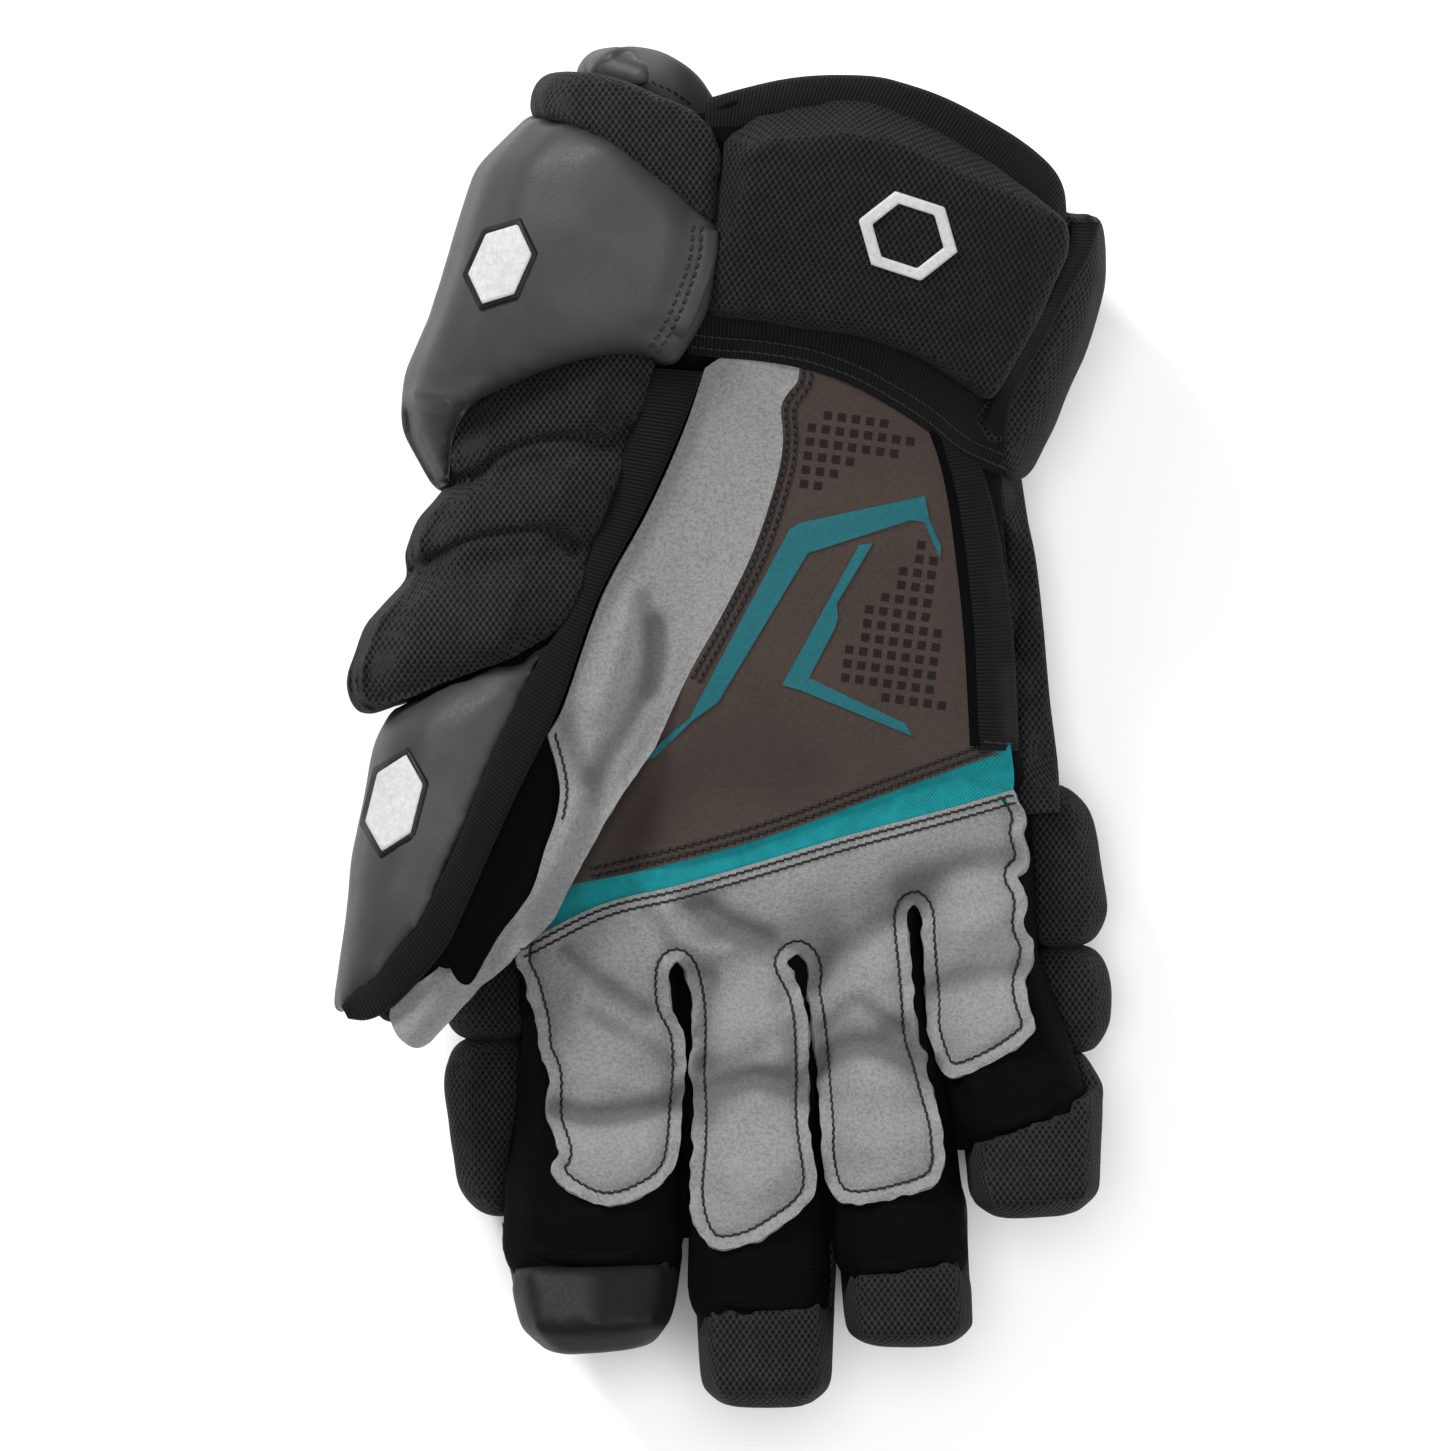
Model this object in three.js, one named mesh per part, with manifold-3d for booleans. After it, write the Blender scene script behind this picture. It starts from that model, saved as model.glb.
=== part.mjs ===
// A right-hand ice hockey glove, lying on its back with the palm up.
// +X points to the little finger's side, +Y to the cuff and +Z out of the palm, in millimetres.
// The origin is on the surface that the glove lies on, under the middle of its outline.
import * as THREE from 'three';
import { mergeVertices } from 'three/addons/utils/BufferGeometryUtils.js';
import Module from 'manifold-3d';

const wasm = await Module();
wasm.setup();

// Overall sizes. Every place in the tables below follows these three.
const GLOVE_LENGTH = 352;
const GLOVE_WIDTH = 202;
const GLOVE_DEPTH = 118;

// The tables are read from a plan, a straight view of the palm. On the plan u runs to the little
// finger's side, v runs down to the fingertips and w is the height, in steps of 118 to the depth.
const PLAN_LEFT = 337;
const PLAN_WIDTH = 776;
const PLAN_FOOT = 1402;
const PLAN_LENGTH = 1355;
const PLAN_DEPTH = 118;

// The plan is seen from high above its middle, so what lies above this height looks larger.
const PLAN_MIDDLE = [725, 724.5];
const PLAN_HEIGHT = 50;
const EYE_HEIGHT = 2144;

// Walls, coverings and clearances.
const SHELL_WALL = 1.8;
const SUEDE_THICKNESS = 1.4;
const BAND_THICKNESS = 0.8;
const TAPE_THICKNESS = 2.4;
const EDGE_BINDING_THICKNESS = 3;
const THUMB_BINDING_DEPTH = 6;
const WRIST_PAD_BEVEL = 17;
const SEAT_GAP = 0.3;

const KNIT = { color: 0x101011, roughness: 0.9, metalness: 0 };
const MESH = { color: 0x232324, roughness: 0.85, metalness: 0 };
const LEATHER = { color: 0x47474a, roughness: 0.55, metalness: 0 };
const SUEDE = { color: 0x9b9b9b, roughness: 0.95, metalness: 0 };
const BROWN = { color: 0x463833, roughness: 0.95, metalness: 0 };
const TEAL = { color: 0x16828a, roughness: 0.7, metalness: 0 };
const TAPE = { color: 0x19191a, roughness: 0.9, metalness: 0 };

const glove = new THREE.Group();

// Places on the plan as lengths in the glove's own frame.
const wideAt = (u) => (u / PLAN_WIDTH) * GLOVE_WIDTH;
const longAt = (v) => (v / PLAN_LENGTH) * GLOVE_LENGTH;
const acrossAt = (u) => wideAt(u - PLAN_LEFT) - GLOVE_WIDTH / 2;
const alongAt = (v) => longAt(PLAN_FOOT - v) - GLOVE_LENGTH / 2;
const upAt = (w) => (w / PLAN_DEPTH) * GLOVE_DEPTH;

// An outline seen at the height w, or at each point's own third number, as it is on the plan.
const planAt = (w, points) => points.map(([u, v, height = w]) => {
  const nearness = (EYE_HEIGHT - height) / (EYE_HEIGHT - PLAN_HEIGHT);
  const [middleU, middleV] = PLAN_MIDDLE;
  return [middleU + (u - middleU) * nearness, middleV + (v - middleV) * nearness];
});

function solidOf(geometry) {
  geometry.deleteAttribute('normal');
  geometry.deleteAttribute('uv');
  const merged = mergeVertices(geometry, 1e-4);
  const solidFrom = (index) => new wasm.Manifold(new wasm.Mesh({
    numProp: 3,
    vertProperties: merged.attributes.position.array,
    triVerts: new Uint32Array(index),
  }));
  const faces = Array.from(merged.index.array);
  const solid = solidFrom(faces);
  return solid.volume() > 0 ? solid : solidFrom(faces.reverse());
}

function geometryOf(solid) {
  const mesh = solid.getMesh();
  const geometry = new THREE.BufferGeometry();
  geometry.setAttribute('position', new THREE.BufferAttribute(mesh.vertProperties, 3));
  geometry.setIndex(new THREE.BufferAttribute(mesh.triVerts, 1));
  geometry.computeVertexNormals();
  return geometry;
}

// The largest body of a cut solid, without the crumbs that a cut can leave.
function mainBody(solid) {
  return solid.decompose().reduce((best, body) => (body.volume() > best.volume() ? body : best));
}

function addPiece(name, solid, look) {
  const mesh = new THREE.Mesh(geometryOf(mainBody(solid)), new THREE.MeshStandardMaterial(look));
  mesh.name = name;
  glove.add(mesh);
}

// A closed solid from rings of points, each ring with as many points, capped at both ends.
function skinOf(rings) {
  const sides = rings[0].length;
  const points = rings.flat();
  const faces = [];
  for (let i = 0; i + 1 < rings.length; i++) {
    for (let j = 0; j < sides; j++) {
      const a = i * sides + j;
      const b = i * sides + ((j + 1) % sides);
      faces.push(a, a + sides, b, b, a + sides, b + sides);
    }
  }
  for (const start of [0, (rings.length - 1) * sides]) {
    const hub = points.length;
    const ring = points.slice(start, start + sides);
    points.push(ring.reduce((sum, p) => sum.add(p), new THREE.Vector3()).divideScalar(sides));
    for (let j = 0; j < sides; j++) {
      const a = start + j;
      const b = start + ((j + 1) % sides);
      faces.push(...(start > 0 ? [hub, b, a] : [hub, a, b]));
    }
  }
  const geometry = new THREE.BufferGeometry().setFromPoints(points);
  geometry.setIndex(faces);
  return solidOf(geometry);
}

// Reads a column of a table smoothly at a place from 0 to 1 down its rows.
function columnOf(rows, name, place) {
  const curve = new THREE.CatmullRomCurve3(
    rows.map((row) => new THREE.Vector3(row[name] ?? 0, 0, 0)), false, 'catmullrom', 0.4);
  return curve.getPoint(place).x;
}

// The place down the rows where v is reached, found by halving.
const HALVINGS = 24;
function placeOf(rows, v) {
  let low = 0;
  let high = 1;
  for (let k = 0; k < HALVINGS; k++) {
    const middle = (low + high) / 2;
    if (columnOf(rows, 'v', middle) > v) high = middle;
    else low = middle;
  }
  return (low + high) / 2;
}

const roundedCos = (a, p) => Math.sign(Math.cos(a)) * Math.abs(Math.cos(a)) ** (2 / p);
const roundedSin = (a, p) => Math.sign(Math.sin(a)) * Math.abs(Math.sin(a)) ** (2 / p);

// A soft form that runs down the glove. Each row is one section at v, from left to right across
// and from low to high in height. slant tilts a section as the knuckles are. pointAt gives a
// point of the surface, grown outwards by grow.
function formOf(rows, boxiness = 2.6) {
  const pointAt = (place, turn, grow, shift = 0) => {
    const read = (name) => columnOf(rows, name, place);
    const [left, right] = [acrossAt(read('left')), acrossAt(read('right'))];
    const [low, high] = [upAt(read('low')), upAt(read('high'))];
    const angle = THREE.MathUtils.degToRad(turn);
    const x = ((right - left) / 2 + grow) * roundedCos(angle, boxiness);
    const z = ((high - low) / 2 + grow) * roundedSin(angle, boxiness);
    const y = alongAt(read('v')) + shift + read('slant') * x;
    return new THREE.Vector3((left + right) / 2 + x, y, (low + high) / 2 + z);
  };
  return { rows, pointAt };
}

// A form whose sections stand square to a leaning spine through u, v and w, as the thumb's do.
function leaningFormOf(rows, boxiness = 2.3) {
  const spine = new THREE.CatmullRomCurve3(
    rows.map((row) => new THREE.Vector3(acrossAt(row.u), alongAt(row.v), upAt(row.w))),
    false, 'catmullrom', 0.4);
  const pointAt = (place, turn, grow, shift = 0) => {
    const tangent = spine.getTangent(place);
    const side = new THREE.Vector3(0, 0, 1).cross(tangent).normalize();
    const up = tangent.clone().cross(side);
    const angle = THREE.MathUtils.degToRad(turn);
    const wide = wideAt(columnOf(rows, 'wide', place)) + grow;
    const deep = upAt(columnOf(rows, 'deep', place)) + grow;
    return spine.getPoint(place)
      .addScaledVector(side, wide * roundedCos(angle, boxiness))
      .addScaledVector(up, deep * roundedSin(angle, boxiness))
      .addScaledVector(tangent, -shift);
  };
  return { rows, pointAt };
}

// A form as a solid between two places, its ends moved out by startOut and endOut.
function solidForm(form, { from = 0, to = 1, steps, sides, grow = 0, startOut = grow, endOut = grow }) {
  const rings = [];
  for (let i = 0; i <= steps; i++) {
    const place = from + ((to - from) * i) / steps;
    const shift = i === 0 ? startOut : i === steps ? -endOut : 0;
    rings.push(Array.from({ length: sides },
      (_, j) => form.pointAt(place, ((j + 0.5) * 360) / sides, grow, shift)));
  }
  return skinOf(rings);
}

// Heights and an outline that clear the whole glove.
const BELOW_ALL = -8;
const ABOVE_ALL = 130;
const WHOLE_PLAN = [[0, 0], [1450, 0], [1450, 1450], [0, 1450]];

// A padded block: a form whose two ends draw in to a round edge, END_ROUND long on the plan.
const END_ROUND = 30;
const END_DRAW_IN = 0.56;
const blockOf = (rows, { boxiness = 3.6, sides = 10, between = 0, side = null } = {}) => (grow = 0) => {
  const form = formOf(rows, boxiness);
  const run = Math.abs(rows[0].v - rows[rows.length - 1].v);
  const round = Math.min(END_ROUND / run, 0.3);
  const places = [0, round];
  for (let k = 1; k <= between; k++) places.push(round + ((1 - 2 * round) * k) / (between + 1));
  places.push(1 - round, 1);
  const block = skinOf(places.map((place, i) => {
    const isEnd = i === 0 || i === places.length - 1;
    const shift = i === 0 ? grow : isEnd ? -grow : 0;
    const inset = isEnd ? grow - longAt(END_ROUND) * END_DRAW_IN : grow;
    return Array.from({ length: sides },
      (_, j) => form.pointAt(place, ((j + 0.5) * 360) / sides, inset, shift));
  }));
  return side ? block.intersect(prismOver(side, BELOW_ALL, ABOVE_ALL, grow)) : block;
};

// An outline of [u, v] points as lengths, moved outwards by grow.
function outlineOf(outline, grow) {
  const points = outline.map(([u, v]) => new THREE.Vector2(acrossAt(u), alongAt(v)));
  const side = Math.sign(THREE.ShapeUtils.area(points));
  return points.map((point, k) => {
    const before = points[(k + points.length - 1) % points.length];
    const after = points[(k + 1) % points.length];
    const a = point.clone().sub(before).normalize();
    const b = after.clone().sub(point).normalize();
    const out = new THREE.Vector2(a.y + b.y, -a.x - b.x).normalize();
    return point.clone().addScaledVector(out, side * grow);
  });
}

// A prism over an outline, between two heights.
function prismOver(outline, low, high, grow = 0) {
  const geometry = new THREE.ExtrudeGeometry(new THREE.Shape(outlineOf(outline, grow)), {
    depth: upAt(high) - upAt(low) + 2 * grow, bevelEnabled: false, steps: 1,
  });
  return solidOf(geometry.translate(0, 0, upAt(low) - grow));
}

const floorSlab = solidOf(new THREE.BoxGeometry(2 * GLOVE_WIDTH, 2 * GLOVE_LENGTH, GLOVE_DEPTH)
  .translate(0, 0, -GLOVE_DEPTH / 2));

// The hand: one wide form from the cuff's mouth to the knuckles.
const HAND = formOf([
  { v: 62, left: 640, right: 880, low: 16, high: 88 },
  { v: 110, left: 612, right: 985, low: 15, high: 96 },
  { v: 165, left: 585, right: 1020, low: 14, high: 99 },
  { v: 250, left: 552, right: 1028, low: 17, high: 93 },
  { v: 400, left: 512, right: 1002, low: 19, high: 82 },
  { v: 560, left: 512, right: 1006, low: 20, high: 74 },
  { v: 720, left: 520, right: 1016, low: 20, high: 68, slant: 0.1 },
  { v: 860, left: 518, right: 1030, low: 20, high: 62, slant: 0.25 },
  { v: 930, left: 516, right: 1036, low: 21, high: 59, slant: 0.338 },
]);
const MOUTH = placeOf(HAND.rows, 112);

// The thumb's side of the glove, from the wrist down to the thumb's tip.
const THUMB = leaningFormOf([
  { u: 676, v: 340, w: 50, wide: 154, deep: 34 },
  { u: 655, v: 430, w: 50, wide: 146, deep: 30 },
  { u: 625, v: 507, w: 50, wide: 131, deep: 28 },
  { u: 568, v: 635, w: 54, wide: 138, deep: 25 },
  { u: 535, v: 700, w: 57, wide: 131, deep: 24 },
  { u: 495, v: 797, w: 64, wide: 108, deep: 21 },
  { u: 455, v: 895, w: 68, wide: 85, deep: 18.5 },
  { u: 422, v: 968, w: 70, wide: 58, deep: 15 },
  { u: 408, v: 1020, w: 72, wide: 31, deep: 10 },
]);
const THUMB_ROOT = placeOf(THUMB.rows, 540);

// Each finger inside its sleeve, from the knuckle to the tip.
const FINGERS = {
  index: formOf([
    { v: 986, left: 524, right: 680, low: 22, high: 57, slant: 0.338 },
    { v: 1090, left: 518, right: 680, low: 22, high: 57, slant: 0.15 },
    { v: 1180, left: 504, right: 684, low: 24, high: 60, slant: 0.1 },
    { v: 1255, left: 502, right: 684, low: 28, high: 61, slant: 0.05 },
    { v: 1300, left: 540, right: 654, low: 34, high: 56, slant: 0.05 },
  ]),
  middle: formOf([
    { v: 936, left: 700, right: 810, low: 22, high: 57, slant: 0.338 },
    { v: 1060, left: 698, right: 812, low: 22, high: 57, slant: 0.15 },
    { v: 1200, left: 688, right: 826, low: 24, high: 59, slant: 0.05 },
    { v: 1300, left: 688, right: 830, low: 28, high: 61 },
    { v: 1352, left: 722, right: 804, low: 34, high: 56 },
  ]),
  ring: formOf([
    { v: 894, left: 824, right: 918, low: 22, high: 57, slant: 0.338 },
    { v: 1000, left: 826, right: 926, low: 22, high: 57, slant: 0.15 },
    { v: 1150, left: 830, right: 956, low: 24, high: 59, slant: 0.05 },
    { v: 1262, left: 834, right: 968, low: 28, high: 61 },
    { v: 1305, left: 864, right: 944, low: 34, high: 56 },
  ]),
  little: formOf([
    { v: 862, left: 928, right: 1032, low: 22, high: 57, slant: 0.338 },
    { v: 960, left: 932, right: 1036, low: 22, high: 57, slant: 0.15 },
    { v: 1060, left: 946, right: 1072, low: 24, high: 59, slant: 0.1 },
    { v: 1118, left: 958, right: 1088, low: 28, high: 61, slant: 0.15 },
    { v: 1165, left: 990, right: 1068, low: 34, high: 56, slant: 0.1 },
  ]),
};
const FINGER_NAMES = Object.keys(FINGERS);

const handSolid = (grow, ends = grow) => solidForm(HAND, {
  from: MOUTH, steps: 6, sides: 18, grow, startOut: ends, endOut: ends,
});
const thumbSolid = (grow) => solidForm(THUMB, {
  from: THUMB_ROOT, steps: 6, sides: 12, grow,
});
const wholeThumbSide = (grow) => solidForm(THUMB, { steps: 8, sides: 12, grow });
const fingerSolid = (name, grow, startOut = grow) => solidForm(FINGERS[name], {
  steps: 4, sides: 10, grow, startOut, endOut: grow,
});

const REACH_IN = 30;
const thumbHollow = thumbSolid(-SHELL_WALL);
const handSeat = handSolid(SEAT_GAP);
const thumbSeat = thumbSolid(SEAT_GAP);
const fingerSeats = FINGER_NAMES.map((name) => fingerSolid(name, SEAT_GAP));
const seated = (solid, others = []) => [handSeat, thumbSeat, ...fingerSeats, ...others].reduce(
  (left, taken) => left.subtract(taken), solid);

// The hollow hand shell, open at the cuff, at the knuckles and where the thumb joins.
// Its palm half and back half meet along a seam.
const handShell = handSolid(0).subtract(handSolid(-SHELL_WALL, REACH_IN)).subtract(thumbHollow);
const SHELL_SEAM = 42;
const seamGap = (SEAT_GAP / GLOVE_DEPTH) * PLAN_DEPTH;
addPiece('hand_shell_palm', handShell.intersect(prismOver(WHOLE_PLAN, SHELL_SEAM, ABOVE_ALL)), KNIT);
addPiece('hand_shell_back', handShell.intersect(prismOver(WHOLE_PLAN, 0, SHELL_SEAM - seamGap)), KNIT);
addPiece('thumb_gusset', thumbSolid(0).subtract(thumbHollow).subtract(handSeat), KNIT);
for (const name of FINGER_NAMES) {
  const sleeve = fingerSolid(name, 0, -SEAT_GAP).subtract(fingerSolid(name, -SHELL_WALL, REACH_IN));
  addPiece(`${name}_sleeve`, sleeve.subtract(handSeat), KNIT);
}

// Rolls of padding across the back of the hand, from the cuff to the knuckles.
const BACK_ROLLS = [
  [
    { v: 442, left: 500, right: 1022, low: -4, high: 44 },
    { v: 548, left: 500, right: 1034, low: -4, high: 43 },
  ],
  [
    { v: 550, left: 500, right: 1034, low: -4, high: 43, slant: 0 },
    { v: 655, left: 496, right: 1046, low: -4, high: 42, slant: 0.05 },
  ],
  [
    { v: 657, left: 496, right: 1046, low: -4, high: 42, slant: 0.05 },
    { v: 790, left: 490, right: 1060, low: -4, high: 40, slant: 0.134 },
  ],
];
const backRolls = BACK_ROLLS.map((rows, k) => {
  const roll = blockOf(rows, { sides: 12 });
  addPiece(`back_roll_${k + 1}`, seated(roll()).subtract(floorSlab), MESH);
  return roll(SEAT_GAP);
});

// Three blocks down the back of each finger, the last one wrapped over its tip.
const FINGER_BLOCKS = {
  index: {
    base_block: [
      { v: 832, left: 462, right: 688, low: -4, high: 43, slant: 0.134 },
      { v: 1036, left: 438, right: 688, low: -4, high: 44, slant: 0.05 },
    ],
    middle_block: [
      { v: 1041, left: 438, right: 688, low: -3, high: 44, slant: 0.05 },
      { v: 1140, left: 448, right: 688, low: -2, high: 45, slant: 0.02 },
      { v: 1219, left: 462, right: 686, low: 0, high: 46 },
    ],
    tip_block: [
      { v: 1224, left: 498, right: 684, low: 4, high: 47 },
      { v: 1262, left: 508, right: 680, low: 5, high: 66 },
      { v: 1310, left: 520, right: 672, low: 8, high: 72, slant: 0.05 },
      { v: 1346, left: 534, right: 668, low: 16, high: 66, slant: 0.08 },
    ],
  },
  middle: {
    base_block: [
      { v: 818, left: 690, right: 814, low: -4, high: 31, slant: 0.134 },
      { v: 1000, left: 692, right: 812, low: -4, high: 31, slant: 0.05 },
    ],
    middle_block: [
      { v: 1005, left: 692, right: 814, low: -3, high: 31, slant: 0.05 },
      { v: 1190, left: 692, right: 830, low: 0, high: 33 },
    ],
    tip_block: [
      { v: 1196, left: 692, right: 834, low: 4, high: 47 },
      { v: 1305, left: 692, right: 838, low: 5, high: 66 },
      { v: 1360, left: 700, right: 834, low: 8, high: 72 },
      { v: 1402, left: 706, right: 826, low: 16, high: 66 },
    ],
  },
  ring: {
    base_block: [
      { v: 806, left: 818, right: 922, low: -4, high: 31, slant: 0.134 },
      { v: 960, left: 816, right: 928, low: -4, high: 31, slant: 0.05 },
    ],
    middle_block: [
      { v: 965, left: 818, right: 930, low: -3, high: 31, slant: 0.05 },
      { v: 1140, left: 834, right: 956, low: 0, high: 33 },
    ],
    tip_block: [
      { v: 1146, left: 838, right: 958, low: 4, high: 47 },
      { v: 1268, left: 840, right: 976, low: 5, high: 66, slant: 0.1 },
      { v: 1310, left: 844, right: 976, low: 8, high: 72, slant: 0.05 },
      { v: 1342, left: 850, right: 966, low: 16, high: 66 },
    ],
  },
  little: {
    base_block: [
      { v: 794, left: 926, right: 1086, low: -4, high: 43, slant: 0.1 },
      { v: 870, left: 928, right: 1106, low: -4, high: 44, slant: 0.08 },
      { v: 948, left: 932, right: 1112, low: -4, high: 44, slant: 0.05 },
    ],
    middle_block: [
      { v: 954, left: 934, right: 1116, low: -3, high: 44, slant: 0.05 },
      { v: 1053, left: 960, right: 1114, low: 0, high: 46 },
    ],
    tip_block: [
      { v: 1060, left: 962, right: 1100, low: 4, high: 47, slant: 0.1 },
      { v: 1122, left: 966, right: 1104, low: 5, high: 66, slant: 0.2 },
      { v: 1180, left: 970, right: 1100, low: 8, high: 72, slant: 0.1 },
      { v: 1212, left: 978, right: 1092, low: 16, high: 66, slant: 0.05 },
    ],
  },
};
const RIM_HEIGHT = 45;
const TIP_RIMS = {
  index: planAt(62, [
    [480, 1200], [480, 1262], [580, 1268], [700, 1262], [700, 1200],
  ]),
  middle: planAt(62, [
    [670, 1180], [670, 1302], [760, 1308], [850, 1302], [850, 1180],
  ]),
  ring: planAt(62, [
    [815, 1130], [815, 1280], [900, 1273], [990, 1250], [990, 1130],
  ]),
  little: planAt(62, [
    [940, 1040], [940, 1148], [1010, 1136], [1060, 1108], [1120, 1082], [1120, 1040],
  ]),
};
for (const [name, blocks] of Object.entries(FINGER_BLOCKS)) {
  for (const [part, rows] of Object.entries(blocks)) {
    let block = blockOf(rows)().subtract(floorSlab);
    const isTip = part === 'tip_block';
    // On the palm's side a tip block starts only past its rim.
    if (isTip) block = block.subtract(prismOver(TIP_RIMS[name], RIM_HEIGHT, ABOVE_ALL));
    addPiece(`${name}_${part}`, seated(block), isTip && name === 'index' ? LEATHER : MESH);
  }
}

// A prism over an outline, its wall leaning in by bevel from the height knee up.
function bevelledPrism(outline, { low, knee, high, bevel }, grow) {
  return skinOf([[low, 0], [knee, 0], [high, -bevel]].map(([w, inset]) => (
    outlineOf(outline, grow + inset).map((p) => new THREE.Vector3(p.x, p.y, upAt(w)))
  )));
}

// A form cut to an outline seen from above the palm.
const cutForm = (rows, outline, { boxiness = 2.8, sides = 16, steps = 6 } = {}) => (grow = 0) => (
  solidForm(formOf(rows, boxiness), { steps, sides, grow })
    .intersect(prismOver(outline, BELOW_ALL, ABOVE_ALL, grow)));

const WRIST_PAD_TOP = formOf([
  { v: 84, left: 630, right: 1078, low: 30, high: 112 },
  { v: 165, left: 624, right: 1088, low: 30, high: 113 },
  { v: 250, left: 612, right: 1094, low: 30, high: 107 },
  { v: 330, left: 600, right: 1084, low: 28, high: 100 },
  { v: 412, left: 590, right: 1066, low: 26, high: 95 },
]);
const WRIST_PAD_OUTLINE = planAt(98, [
  [718, 165], [722, 140], [757, 116], [840, 100], [872, 103], [918, 120], [998, 170],
  [1064, 226, 80], [1065, 253, 78], [1038, 314, 78], [990, 396, 80], [918, 349, 96],
  [864, 331, 98], [707, 309], [714, 240],
]);
const palmPad = (grow = 0) => solidForm(WRIST_PAD_TOP, { steps: 5, sides: 18, grow }).intersect(
  bevelledPrism(WRIST_PAD_OUTLINE, { low: 46, knee: 97, high: 122, bevel: WRIST_PAD_BEVEL }, grow));

const thumbWrap = cutForm([
  { v: 112, left: 545, right: 800, low: 12, high: 100 },
  { v: 168, left: 483, right: 805, low: 8, high: 103 },
  { v: 224, left: 462, right: 805, low: 6, high: 105 },
  { v: 298, left: 441, right: 805, low: 6, high: 104 },
  { v: 340, left: 424, right: 800, low: 6, high: 102 },
  { v: 390, left: 402, right: 780, low: 8, high: 98 },
  { v: 430, left: 406, right: 760, low: 12, high: 94 },
  { v: 488, left: 440, right: 740, low: 18, high: 88 },
], planAt(95, [
  [480, 100, 50], [534, 119, 60], [552, 132, 80], [585, 134, 90], [611, 149], [720, 232, 100],
  [716, 262, 100], [700, 311, 100], [669, 362, 100], [649, 351], [623, 346], [585, 351],
  [547, 362, 90], [473, 395, 75], [452, 430, 60], [450, 500, 50], [380, 500, 50], [380, 380, 50],
  [400, 200, 50],
]));

const meshRoll = cutForm([
  { v: 66, left: 560, right: 790, low: 30, high: 94 },
  { v: 84, left: 545, right: 800, low: 28, high: 98 },
  { v: 104, left: 535, right: 800, low: 26, high: 101 },
  { v: 150, left: 530, right: 800, low: 26, high: 103 },
  { v: 240, left: 530, right: 800, low: 26, high: 104 },
], planAt(98, [
  [520, 117, 60], [540, 78, 60], [565, 74, 80], [611, 78], [687, 109], [713, 132], [719, 150],
  [716, 215], [711, 220], [611, 144], [585, 129, 92], [530, 116, 60],
]), { steps: 4 });

const topFlap = blockOf([
  { v: 64, left: 596, right: 706, low: 3, high: 82, slant: -0.3 },
  { v: 100, left: 572, right: 716, low: 2, high: 84, slant: -0.25 },
  { v: 200, left: 545, right: 724, low: 2, high: 84 },
], { boxiness: 3 });

const outerFlank = cutForm([
  { v: 212, left: 900, right: 1100, low: 14, high: 78 },
  { v: 250, left: 890, right: 1104, low: 8, high: 80 },
  { v: 300, left: 870, right: 1102, low: 6, high: 80 },
  { v: 349, left: 870, right: 1082, low: 6, high: 78 },
  { v: 416, left: 850, right: 1056, low: 8, high: 74 },
  { v: 476, left: 840, right: 1024, low: 12, high: 66 },
], planAt(50, [
  [1040, 205], [1066, 222], [1092, 218], [1112, 210], [1116, 320], [1080, 420], [1040, 462],
  [1030, 464], [1018, 478], [1000, 470], [950, 440], [900, 400], [900, 250],
]));

const backRoll = blockOf([
  { v: 128, left: 590, right: 960, low: -4, high: 46 },
  { v: 200, left: 520, right: 1030, low: -4, high: 48 },
  { v: 300, left: 480, right: 1050, low: -4, high: 48 },
  { v: 437, left: 470, right: 1032, low: -4, high: 44 },
], { sides: 12, between: 1 });

// The way into the cuff, which every piece around the mouth leaves open.
const cuffPassage = solidForm(HAND, {
  to: MOUTH, steps: 2, sides: 18, grow: SEAT_GAP, startOut: REACH_IN,
});

// The order matters: every piece is cut to those before it.
const taken = [...backRolls];
const MOUTH_PIECES = [
  'cuff_top_flap', 'cuff_mesh_roll', 'cuff_palm_rim', 'cuff_thumb_wrap', 'cuff_back_roll',
];
function place(name, maker, look) {
  const passage = MOUTH_PIECES.includes(name) ? [cuffPassage] : [];
  addPiece(name, seated(maker(0), [...taken, ...passage]).subtract(floorSlab), look);
  taken.push(maker(SEAT_GAP));
}
place('cuff_palm_pad', palmPad, MESH);
place('cuff_mesh_roll', meshRoll, MESH);
place('cuff_thumb_wrap', thumbWrap, LEATHER);
place('cuff_top_flap', topFlap, LEATHER);
place('cuff_outer_flank', outerFlank, MESH);
place('cuff_back_roll', backRoll, LEATHER);

// A covering over the grown liner, from the lift bottom to the lift top, cut to an outline.
const linerSolids = {
  hand: (grow) => handSolid(grow),
  thumb: (grow) => wholeThumbSide(grow),
  fingers: (grow) => FINGER_NAMES.map((name) => fingerSolid(name, grow)).reduce((a, b) => a.add(b)),
};
const cover = (parts, outline, bottom, top, from = 38) => (grow = 0) => {
  const grown = (lift) => parts.map((part) => linerSolids[part](lift)).reduce((a, b) => a.add(b));
  const layer = grown(top + grow).subtract(grown(bottom - grow));
  return layer.intersect(prismOver(outline, from, ABOVE_ALL, grow));
};

const binding = cover(['hand', 'thumb'],
  planAt(88, [
    [655, 372], [702, 372], [681, 430], [646, 507], [597, 600], [545, 741], [446, 948], [419, 981],
    [395, 1002], [370, 1012, 84], [345, 1010, 82], [352, 990, 82], [377, 972], [398, 948],
    [440, 882], [524, 687], [575, 600], [632, 430],
  ]),
  SEAT_GAP, THUMB_BINDING_DEPTH, 60);
place('thumb_binding', binding, TAPE);

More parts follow.
